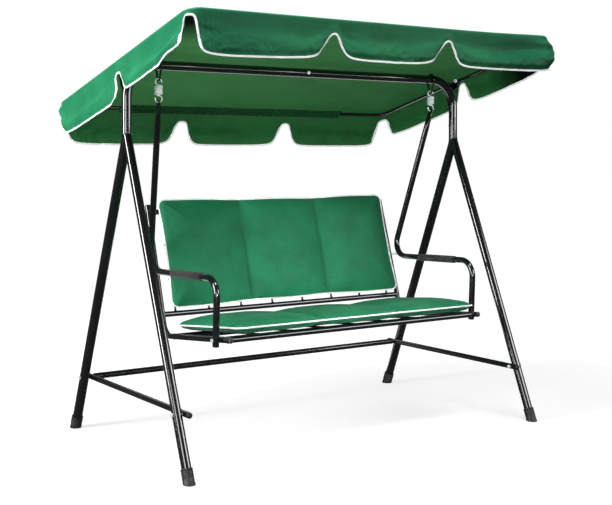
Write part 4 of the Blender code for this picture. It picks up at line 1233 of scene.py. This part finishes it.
def tube_pockets():
    """Sleeves of the same cloth, sewn under the roof, that hold it on the front and rear tubes."""
    made = []
    for word, facing in (("front", -1), ("rear", 1)):
        r = CANOPY_R + 0.0008
        section = [(-0.0235, 0.0075), (-0.0190, 0.0070), (-0.0150, 0.0052), (-0.0122, 0.0026)]
        turns = [math.radians(degrees) for degrees in range(178, 321, 12)]
        section += [(r * math.cos(a), r * math.sin(a)) for a in turns]
        tails = ((0.0072, 0.0085), (0.0066, 0.0120))
        section += [(reach + facing * 0.25 * down, -down) for reach, down in tails]
        half, columns = POCKET_HALF_LENGTH, 240
        points, faces, uvs = [], [], []
        for i in range(columns + 1):
            u = -half + 2 * half * i / columns
            slack = 0.0006 + 0.0006 * math.sin(u * 55 + 2.3 * math.sin(u * 13))
            run = 0.0
            for j, (a, b) in enumerate(section):
                share = math.sin(math.pi * j / (len(section) - 1))
                grow = 1 + slack / r * share
                if j:
                    run += math.hypot(a - section[j - 1][0], b - section[j - 1][1])
                points.append(canopy_point(u, facing * (CANOPY_Y + a * grow), b * grow))
                uvs.append((u, run))
        stride = len(section)
        for i in range(columns):
            for j in range(stride - 1):
                a, b = i * stride + j, (i + 1) * stride + j
                faces.append((a, a + 1, b + 1, b))
        made.append(cloth_strip(f"{word}_tube_pocket", points, faces, GREEN_INNER_SHADED, uvs))
        # Each pocket edge gets a thin seam strip in near-black green, a painted shadow line.
        for edge, (a, b) in (("inner", section[0]), ("outer", section[-1])):
            points, faces, uvs = [], [], []
            for i in range(columns * 2 + 1):
                u = -half + half * i / columns
                wave = 0.0006 * math.sin(u * 210 + 3 * math.sin(u * 17))
                for over, down in ((0.0, 0.0002), (0.0007, 0.0022), (wave, 0.0046 + wave)):
                    reach = a + over + facing * 0.25 * down
                    points.append(canopy_point(u, facing * (CANOPY_Y + reach), b - down))
                    uvs.append((u, down))
            for i in range(columns * 2):
                for j in range(2):
                    first, second = i * 3 + j, i * 3 + 3 + j
                    faces.append((first, first + 1, second + 1, second))
            name = f"{word}_pocket_{edge}_seam"
            made.append(cloth_strip(name, points, faces, POCKET_SEAM_SHADOW, uvs))
    return made


# ---------------------------------------------------------------- suspension
def hanger_loop(name, hand):
    """A closed rod loop that hangs from the crossbar and narrows to the spring."""
    x = hand * SUSPENSION_X
    top = Vector((x, 0, CROSSBAR_Z))
    low = Vector((x, 0, CROSSBAR_Z - LOOP_DROP + LOOP_BOTTOM_R))
    lean = math.asin((LOOP_TOP_R - LOOP_BOTTOM_R) / (top.z - low.z))
    path = []
    for k in range(49):
        a = -lean + (math.pi + 2 * lean) * k / 48
        path.append(top + LOOP_TOP_R * Vector((0, math.cos(a), math.sin(a))))
    for k in range(25):
        a = math.pi + lean + (math.pi - 2 * lean) * k / 24
        path.append(low + LOOP_BOTTOM_R * Vector((0, math.cos(a), math.sin(a))))
    shell = Shell()
    frames = frames_along(path, X, closed=True)
    shell.rings([ring_at(f, LOOP_ROD_R, LOOP_ROD_R, 20) for f in frames], closed=True)
    shell.piece(f"{name}_rod", BLACK, "frame", "black_paint", [name])


def eased(points, steps):
    """A smooth line through the points (Catmull-Rom)."""
    padded = [points[0] * 2 - points[1]] + points + [points[-1] * 2 - points[-2]]
    found = []
    for a, b, c, d in zip(padded, padded[1:], padded[2:], padded[3:]):
        for k in range(steps):
            t = k / steps
            square, cube = 2 * a - 5 * b + 4 * c - d, 3 * b - a - 3 * c + d
            found.append(0.5 * (2 * b + (c - a) * t + square * t * t + cube * t**3))
    found.append(points[-1])
    return found


def spring_piece(name, hand):
    """An extension spring of one wire: an open ring, a coil and a second open ring."""
    x = hand * SUSPENSION_X
    slack = WIRE_R - SPRING_WIRE_R
    top = Vector((x, 0, SWING_Z - slack - TOP_RING_R))
    low = Vector((x, 0, HOOK_Z + slack + LOW_RING_R))
    start_z, end_z = top.z - TOP_RING_R - RING_NECK, low.z + LOW_RING_R + RING_NECK
    across = Vector((math.cos(RING_TURN), -math.sin(RING_TURN), 0))
    towards = across.cross(Z)
    points = []
    for degrees in range(-10, 251, 13):
        a = math.radians(degrees)
        points.append(top + TOP_RING_R * (across * math.cos(a) + Z * math.sin(a)))
    neck = across * 0.0004 - towards * 0.0050
    points.append(Vector((x, 0, top.z - TOP_RING_R - 0.0004)) - neck)
    steps = 24
    last = round(COIL_TURNS * steps) - 2
    for k in range(2, last + 1):
        a = 2 * math.pi * k / steps
        drop = (start_z - end_z) * (k - 2) / (last - 2)
        turn = across * math.sin(a) + towards * math.cos(a)
        points.append(Vector((x, 0, start_z - drop)) + COIL_R * turn)
    neck = across * 0.0004 + towards * 0.0050
    points.append(Vector((x, 0, low.z + LOW_RING_R + 0.0004)) + neck)
    for degrees in range(110, -204, -13):
        a = math.radians(degrees)
        points.append(low + LOW_RING_R * (across * math.cos(a) + Z * math.sin(a)))
    path = eased(points, 3)
    shell = Shell()
    shell.rings(tube_rings(path, Y, SPRING_WIRE_R, 14, lip=0.0006, carried=True))
    made = shell.piece(f"{name}_wire", ZINC, None, None)
    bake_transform(made)
    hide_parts(name)


def hook_bush(name, hand):
    """The flanged eyelet in the hanger arm's hole."""
    half = HANGER_FLAT + 0.001
    start = Vector((hand * SUSPENSION_X, 0, EYE_Z)) - X * half
    flange = BUSH_OUT_R + 0.0014
    profile = [(0.0, BUSH_IN_R), (0.0, flange - 0.0003), (0.0003, flange), (0.0007, flange)]
    profile.append((0.0009, BUSH_OUT_R))
    back = [(2 * half - a, r) for a, r in reversed(profile)]
    frames = [(start + X * a, Y, X.cross(Y)) for a, _ in profile + back]
    shell = Shell()
    shell.rings([ring_at(f, r, r, 40) for f, (_, r) in zip(frames, profile + back)], closed=True)
    shell.piece(f"{name}_eyelet", PLASTIC, "bushes", "black_plastic", [name])


# ---------------------------------------------------------------- seat frame
def seat_side_corners(hand):
    """Front, rear and top corners of a side tube's centre line."""
    rear = Vector((hand * SIDE_X, SEAT_REAR_Y, SEAT_REAR_Z))
    front = Vector((hand * SIDE_X, SEAT_REAR_Y - SEAT_DEPTH, SEAT_FRONT_Z))
    top = rear + BACK_LENGTH * Vector((0, math.sin(BACK_ANGLE), math.cos(BACK_ANGLE)))
    return front, rear, top


def on_back(share, hand=1):
    """A point on the backrest's line, as a share of its length."""
    _, rear, top = seat_side_corners(hand)
    return rear.lerp(top, share)


def on_seat(share, hand=1):
    """A point on the seat's line, as a share of its length from the front."""
    front, rear, _ = seat_side_corners(hand)
    return front.lerp(rear, share)


def back_share(z):
    """The backrest's share at a height."""
    _, rear, top = seat_side_corners(1)
    return (z - rear.z) / (top.z - rear.z)


def hanger_arm(word, hand):
    """The tube from the spring down behind the seat, along the arm and down to the seat front."""
    eye = Vector((hand * SUSPENSION_X, 0, EYE_Z))
    arm_x = hand * ARM_X
    rear = Vector((arm_x, ARM_REAR_Y, ARM_Z - 0.008))
    front = Vector((arm_x, ARM_FRONT_Y, ARM_Z + 0.008))
    post = on_seat(ARM_POST_SHARE, hand)
    low = Vector((arm_x, post.y - 0.004, post.z - 0.02))
    down = (rear - eye).normalized()
    path, sizes = [], []
    for k in range(9):
        a = math.pi / 2 * (1 - k / 8)
        path.append(eye - down * (0.013 * math.sin(a)))
        sizes.append((HANGER_FLAT, 0.0002 + 0.0134 * math.cos(a)))
    for k in range(1, 25):
        d = 0.095 * k / 24
        share = float(smooth_step(d, 0.018, 0.082))
        path.append(eye + down * d)
        thick = HANGER_FLAT + (HANGER_R - HANGER_FLAT) * share
        belly = 0.0022 * math.sin(math.pi * min(1.0, d / 0.075)) * (1 - share)
        sizes.append((thick, EYE_HALF_WIDTH + belly + (HANGER_R - EYE_HALF_WIDTH) * share))
    whole = rounded_path([eye + down * 0.1, rear, front, low], ARM_BEND, 22)
    path += whole
    sizes += [(HANGER_R, HANGER_R)] * len(whole)
    frames = frames_along(path, X)
    rings = []
    count = 40
    for (here, across, other), (thick, wide) in zip(frames, sizes):
        boxy = 1 - (thick - HANGER_FLAT) / (HANGER_R - HANGER_FLAT)
        power = 1 - 0.55 * boxy
        ring = []
        for k in range(count):
            a = 2 * math.pi * k / count
            ca, sa = math.cos(a), math.sin(a)
            aside = thick * math.copysign(abs(ca) ** power, ca)
            ahead = wide * math.copysign(abs(sa) ** (1 - 0.15 * boxy), sa)
            ring.append(here + across * aside + other * ahead)
        rings.append(ring)
    shell = Shell()
    shell.rings(rings)
    made = shell.piece(f"{word}_hanger_tube", BLACK, None, None)
    cutter_shell = Shell()
    hole_r = BUSH_OUT_R + 0.0002
    turned(cutter_shell, eye - X * 0.02, X, [(0, hole_r), (0.04, hole_r)])
    cutter = cutter_shell.piece("cutter", BLACK, None, None)
    hole = made.modifiers.new("hole", "BOOLEAN")
    hole.operation = "DIFFERENCE"
    hole.solver = "EXACT"
    hole.object = cutter
    apply_modifiers(made)
    bpy.data.objects.remove(cutter)
    made.data.shade_smooth()
    made.data.set_sharp_from_angle(angle=math.radians(35))
    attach(made, "seat")
    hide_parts(f"{word}_hanger_arm")
    shell = Shell()
    plug(shell, low, (low - front).normalized(), HANGER_R)
    shell.piece(f"{word}_arm_plug", PLASTIC, "seat", "black_plastic")
    shell = Shell()
    start, end = (rear.lerp(front, share) for share in GRIP_SHARES)
    axis = (end - start).normalized()
    length = (end - start).length
    stations = [(0, HANGER_R), (0.0004, GRIP_R - 0.0016)]
    stations += [(0.0016, GRIP_R - 0.0003), (0.0035, GRIP_R)]
    stations += [(length - a, r) for a, r in reversed(stations)]
    turned(shell, start, axis, stations, 48)
    shell.piece(f"{word}_foam_grip", FOAM, "seat", "grip_foam", [f"{word}_arm_grip"])


def seat_frame():
    """Side tubes, hanger arms, rails fitted against the side tubes, and the two grids."""
    targets = {}
    for word, hand in SIDES.items():
        path = rounded_path(list(seat_side_corners(hand)), SIDE_BEND, 24)
        side = smooth_tube(f"{word}_side_rail", path, X, SIDE_R, "seat", [f"{word}_side_tube"])
        targets[hand] = bvh_of(side)
        shell = Shell()
        plug(shell, path[0], (path[0] - path[1]).normalized(), SIDE_R)
        plug(shell, path[-1], (path[-1] - path[-2]).normalized(), SIDE_R)
        shell.piece(f"{word}_side_plugs", PLASTIC, "seat", "black_plastic")
        hanger_arm(word, hand)
        grip = 2 * (HANGER_R + SIDE_R) + 0.001
        places = {"front": on_seat(ARM_POST_SHARE, hand), "rear": on_back(back_share(ARM_Z), hand)}
        for end, point in places.items():
            surface = Vector((hand * (ARM_X + HANGER_R), point.y, point.z))
            bolt_piece(f"detailed_{word}_{end}_seat_bolt", surface, -hand * X, grip, "seat")
    front, rear = (on_seat(share) for share in SEAT_RAIL_SHARES)
    lower, top = (on_back(share) for share in BACK_RAIL_SHARES)
    rails = {"seat_front_rail": front, "seat_rear_rail": rear}
    rails |= {"back_lower_rail": lower, "back_top_rail": top}
    for name, centre in rails.items():
        middle = Vector((0, centre.y, centre.z))
        rings = [coped_ring(middle, hand * X, Y, SIDE_R, targets[hand]) for hand in (-1, 1)]
        rings[0] = [rings[0][(-k) % len(rings[0])] for k in range(len(rings[0]))]
        shell = Shell()
        shell.rings(rings)
        for ring in rings:
            bead(shell, ring, 0.0018)
        shell.piece(f"{name}_tube", BLACK, "seat", "black_paint", [name])
    grid("seat_grid", rails["seat_front_rail"], rails["seat_rear_rail"])
    grid("back_grid", rails["back_lower_rail"], rails["back_top_rail"])


def grid(name, start, end):
    """Round rods from rail to rail and two wires across them, with small weld spots."""
    along = (end - start).normalized()
    half = SIDE_X * 0.9
    shell = Shell()
    lines = []
    for share in (0.33, 0.67):
        middle = start.lerp(end, share)
        ends = [Vector((side * (half + 0.012), middle.y, middle.z)) for side in (-1, 1)]
        shell.rings(tube_rings(ends, Z, SLAT_R * 0.75, 14))
        lines.append(middle)
    for k in range(SLAT_COUNT):
        x = half * (2 * k / (SLAT_COUNT - 1) - 1)
        reach = along * (SIDE_R * 0.8)
        ends = [Vector((x, p.y, p.z)) for p in (start + reach, end - reach)]
        shell.rings(tube_rings(ends, X, SLAT_R, 16))
        for point in (ends[0] + along * 0.0025, ends[1] - along * 0.0025):
            weld = [(0, 0.0044), (0.002, 0.0062), (0.0045, 0.0056), (0.006, 0.0044)]
            turned(shell, point - along * 0.003, along, weld, 16)
        for middle in lines:
            spot = Vector((x, middle.y, middle.z))
            weld = [(0, 0.0031), (0.003, 0.0045), (0.009, 0.0045), (0.012, 0.0031)]
            turned(shell, spot - X * 0.006, X, weld, 14)
    shell.piece(f"{name}_rods", BLACK, "seat", "black_paint", [name])


# ---------------------------------------------------------------- cushions
def cushion_frame(name):
    """Middle and directions of a cushion, from its CAD solid."""
    front, rear, top = seat_side_corners(1)
    low, high = (Vector(c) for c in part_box(name))
    along = (rear - front if name == "seat_cushion" else top - rear).normalized()
    centre = (low + high) / 2
    return Vector((0, centre.y, centre.z)), along, X.cross(along)


def cushion_outline(x, y, half_depth):
    """Plan position with rounded corners and edges that pull in between corners."""
    half_width, r = CUSHION_HALF_WIDTH, CUSHION_CORNER
    ex, ey = x / half_width, y / half_depth
    sections = 0.5 + 0.5 * math.cos(math.pi * CUSHION_SECTIONS * (ex + 1))
    pull_x = 0.010 * (1 - ey * ey)
    pull_y = 0.008 * (1 - ex * ex) + 0.004 * sections
    dx, dy = (abs(x) - half_width + r) / r, (abs(y) - half_depth + r) / r
    length = math.hypot(dx, dy)
    if dx > 0 and dy > 0 and length > 1e-9:
        k = max(dx, dy) / length
        x = math.copysign(half_width - r + dx * k * r, x)
        y = math.copysign(half_depth - r + dy * k * r, y)
    x -= math.copysign(pull_x * abs(ex) ** 3, x)
    y -= math.copysign(pull_y * abs(ey) ** 3, y)
    return x, y


def cushion_height(x, y, half_depth, seams, face):
    """Height of the cover over the cushion's middle plane: crowned between its sewn lines."""
    half_thick = CUSHION_THICKNESS / 2
    edge = max(0.0, min(CUSHION_HALF_WIDTH - abs(x), half_depth - abs(y)))
    crown = (1 - math.exp(-edge / 0.020)) ** 0.8
    away = min(abs(x - seam) for seam in seams)
    groove = 1 - 0.62 * math.exp(-((away / 0.016) ** 2)) - 0.15 * math.exp(-away / 0.05)
    fullness = 0.86 + 0.14 * math.cos(math.pi * y / half_depth / 2)
    height = half_thick * crown * groove * fullness
    height += 0.0016 * float(value_noise(x * 16, y * 9, 11 + face)) * crown
    near = math.exp(-away / 0.03) + math.exp(-edge / 0.025)
    stitches = math.sin(y * 260 + 2.2 * math.sin(y * 57))
    height += 0.0014 * near * stitches * (1 - math.exp(-edge / 0.006))
    return height if face > 0 else min(height, half_thick * 0.80)


def fill_with_pressure(made, centre, above, seams):
    """Blows the cover up by a cloth simulation. Its piped edge and its sewn lines hold still."""
    mesh = made.data
    start = np.array([v.co for v in mesh.vertices])
    height = (start - np.array(centre)) @ np.array(above)
    beside = np.min([np.abs(start[:, 0] - x) for x in seams], axis=0)
    still = np.flatnonzero((np.abs(height) < 0.003) | (beside < 0.006))
    held = made.vertex_groups.new(name="held")
    held.add([int(k) for k in still], 1.0, "REPLACE")
    fill = made.modifiers.new("fill", "CLOTH")
    fill.settings.quality = 6
    fill.settings.mass = 0.2
    fill.settings.tension_stiffness = 15
    fill.settings.compression_stiffness = 15
    fill.settings.shear_stiffness = 6
    fill.settings.bending_stiffness = 0.2
    fill.settings.use_pressure = True
    fill.settings.uniform_pressure_force = 4
    fill.settings.effector_weights.gravity = 0
    fill.settings.vertex_group_mass = "held"
    fill.point_cache.frame_start = 1
    fill.point_cache.frame_end = 20
    for step in range(1, 21):
        bpy.context.scene.frame_set(step)
    apply_modifiers(made)
    bpy.context.scene.frame_set(1)
    mesh = made.data
    moved = np.array([v.co for v in mesh.vertices]) - start
    length = np.linalg.norm(moved, axis=1, keepdims=True)
    moved *= np.minimum(1, CUSHION_SWELL / np.maximum(length, 1e-9))
    rise = moved @ np.array(above)
    under = (height < 0) & (rise < 0)
    moved[under] *= 0.35
    mesh.vertices.foreach_set("co", (start + moved).astype(np.float32).ravel())
    made.vertex_groups.clear()


def build_cushion(name, half_depth):
    """A padded cushion: crowned sections between sewn lines, with white piping round its edge."""
    centre, along, above = cushion_frame(name)
    half_width, columns, rows = CUSHION_HALF_WIDTH, 116, 50
    seams = [half_width * (2 * k / CUSHION_SECTIONS - 1) for k in range(1, CUSHION_SECTIONS)]

    def gathered(count, share):
        """Places from -1 to 1, closer together near the ends."""
        steps = [k / count for k in range(count + 1)]
        return [share * (2 * t - 1) - (1 - share) * math.cos(math.pi * t) for t in steps]

    def place(x, y, z):
        return centre + X * x + along * y + above * z

    across, deep = gathered(columns, 0.7), gathered(rows, 0.65)
    plan = [(tx * half_width, ty * half_depth) for ty in deep for tx in across]
    outline = [cushion_outline(x, y, half_depth) for x, y in plan]
    points = []
    for face in (1, -1):
        for (x, y), (px, py) in zip(plan, outline):
            height = cushion_height(x, y, half_depth, seams, face)
            points.append(place(px, py, face * height))
    faces = []
    stride, size = columns + 1, len(plan)
    for face in range(2):
        for j in range(rows):
            for i in range(columns):
                a = face * size + j * stride + i
                quad = (a, a + 1, a + stride + 1, a + stride)
                faces.append(quad if face == 0 else quad[::-1])
    slot = "green_polyester"
    pad = f"{name}_pad"
    made = new_piece(pad, points, faces, CUSHION_GREEN, "seat", [name], outline * 2, smooth=0)
    bm = bmesh.new()
    bm.from_mesh(made.data)
    bmesh.ops.remove_doubles(bm, verts=bm.verts, dist=0.0002)
    bmesh.ops.recalc_face_normals(bm, faces=bm.faces)
    bm.to_mesh(made.data)
    bm.free()
    fill_with_pressure(made, centre, above, seams)
    finer = made.modifiers.new("finer", "SUBSURF")
    finer.levels = finer.render_levels = 1
    apply_modifiers(made)
    grid_rows = [outline[j * stride : (j + 1) * stride] for j in range(rows + 1)]
    rim = grid_rows[0] + [row[-1] for row in grid_rows[1:]]
    rim += grid_rows[-1][-2::-1] + [row[0] for row in reversed(grid_rows[1:-1])]
    frames = frames_along([place(x, y, 0.0) for x, y in rim], above, closed=True)
    shell = Shell()
    shell.rings([ring_at(f, PIPING_R, PIPING_R, 14) for f in frames], closed=True)
    # The piping shares the tape's material, with its painted glow.
    shell.piece(f"{name}_piping", WHITE, "seat", slot)


# ---------------------------------------------------------------- build
crossbar()
legs()
leg_braces()
brackets()
canopy_frame()
cloth = Cloth()
cloth_piece = canopy_cloth(cloth)
binding_piece = canopy_binding(cloth)
pocket_pieces = tube_pockets()
for side_name, side_sign in SIDES.items():
    hanger_loop(f"{side_name}_hanger_loop", side_sign)
    spring_piece(f"{side_name}_spring", side_sign)
    hook_bush(f"{side_name}_hook_bush", side_sign)
seat_frame()
build_cushion("seat_cushion", SEAT_CUSHION_HALF_DEPTH)
build_cushion("back_cushion", BACK_CUSHION_HALF_DEPTH)

# ---------------------------------------------------------------- floor, world and lights
floor_mesh = bpy.data.meshes.new("floor")
floor_mesh.from_pydata([(-60, -60, 0), (60, -60, 0), (60, 60, 0), (-60, 60, 0)], [], [(0, 1, 2, 3)])
floor_mesh.materials.append(make_floor_paint())
floor = bpy.data.objects.new("floor", floor_mesh)
bpy.context.scene.collection.objects.link(floor)
floor.visible_diffuse = False
floor.visible_glossy = False

world = bpy.data.worlds.new("studio")
world.use_nodes = True
bpy.context.scene.world = world
tree = world.node_tree
shown, dim = tree.nodes["Background"], tree.nodes.new("ShaderNodeBackground")
shown.inputs["Color"].default_value = (1, 1, 1, 1)
shown.inputs["Strength"].default_value = 1.0
dim.inputs["Color"].default_value = (0.94, 0.97, 1.0, 1)
dim.inputs["Strength"].default_value = 0.10
path = tree.nodes.new("ShaderNodeLightPath")
chosen = tree.nodes.new("ShaderNodeMixShader")
tree.links.new(path.outputs["Is Camera Ray"], chosen.inputs[0])
tree.links.new(dim.outputs[0], chosen.inputs[1])
tree.links.new(shown.outputs[0], chosen.inputs[2])
tree.links.new(chosen.outputs[0], tree.nodes["World Output"].inputs["Surface"])
bpy.context.scene.view_settings.view_transform = "Standard"

# Each light: its name, place, target, size, power, spread in degrees, and if only reflections
# show it.
LIGHTS = [
    ("key", (-4.8, 0.1, 1.95), (-0.6, 0, 1.35), (1.0, 2.4), 222, 180, False),
    ("roof", (-0.75, 0.0, 3.2), (-0.50, 0, 1.5), (0.9, 0.7), 40, 180, False),
    ("front_top", (0.0, -2.1, 4.7), (-0.1, -0.4, 1.3), (2.6, 0.8), 85, 180, False),
    ("low_left", (-3.0, -3.4, 0.55), (-0.55, 0, 1.35), (1.0, 0.8), 16, 180, False),
    ("bench", (-1.4, -4.6, 0.9), (0.0, 0, 0.45), (0.9, 0.5), 3.2, 22, False),
    ("left_softbox", (-3.4, -2.6, 1.15), (-0.7, 0, 1.35), (1.3, 1.2), 42, 180, True),
    ("bar_softbox", (2.3, -3.4, 2.0), (0.2, 0, 1.45), (2.6, 1.4), 95, 180, True),
    ("under_glow", (0.9, 1.3, 0.03), (0.9, 1.3, 1.0), (3.0, 0.9), 16, 180, True),
    ("rear_fill", (0.5, 3.4, 2.4), (0.0, 0.5, 1.2), (2.0, 1.0), 7, 180, False),
]
for name, place, target, size, power, spread, reflected_only in LIGHTS:
    data = bpy.data.lights.new(name, "AREA")
    data.shape = "RECTANGLE"
    data.size, data.size_y = size
    data.energy = power
    data.spread = math.radians(spread)
    light = bpy.data.objects.new(name, data)
    bpy.context.scene.collection.objects.link(light)
    light.location = place
    light.rotation_euler = (Vector(target) - Vector(place)).to_track_quat("-Z", "Y").to_euler()
    light.visible_camera = False
    light.visible_diffuse = not reflected_only
    light.visible_transmission = not reflected_only
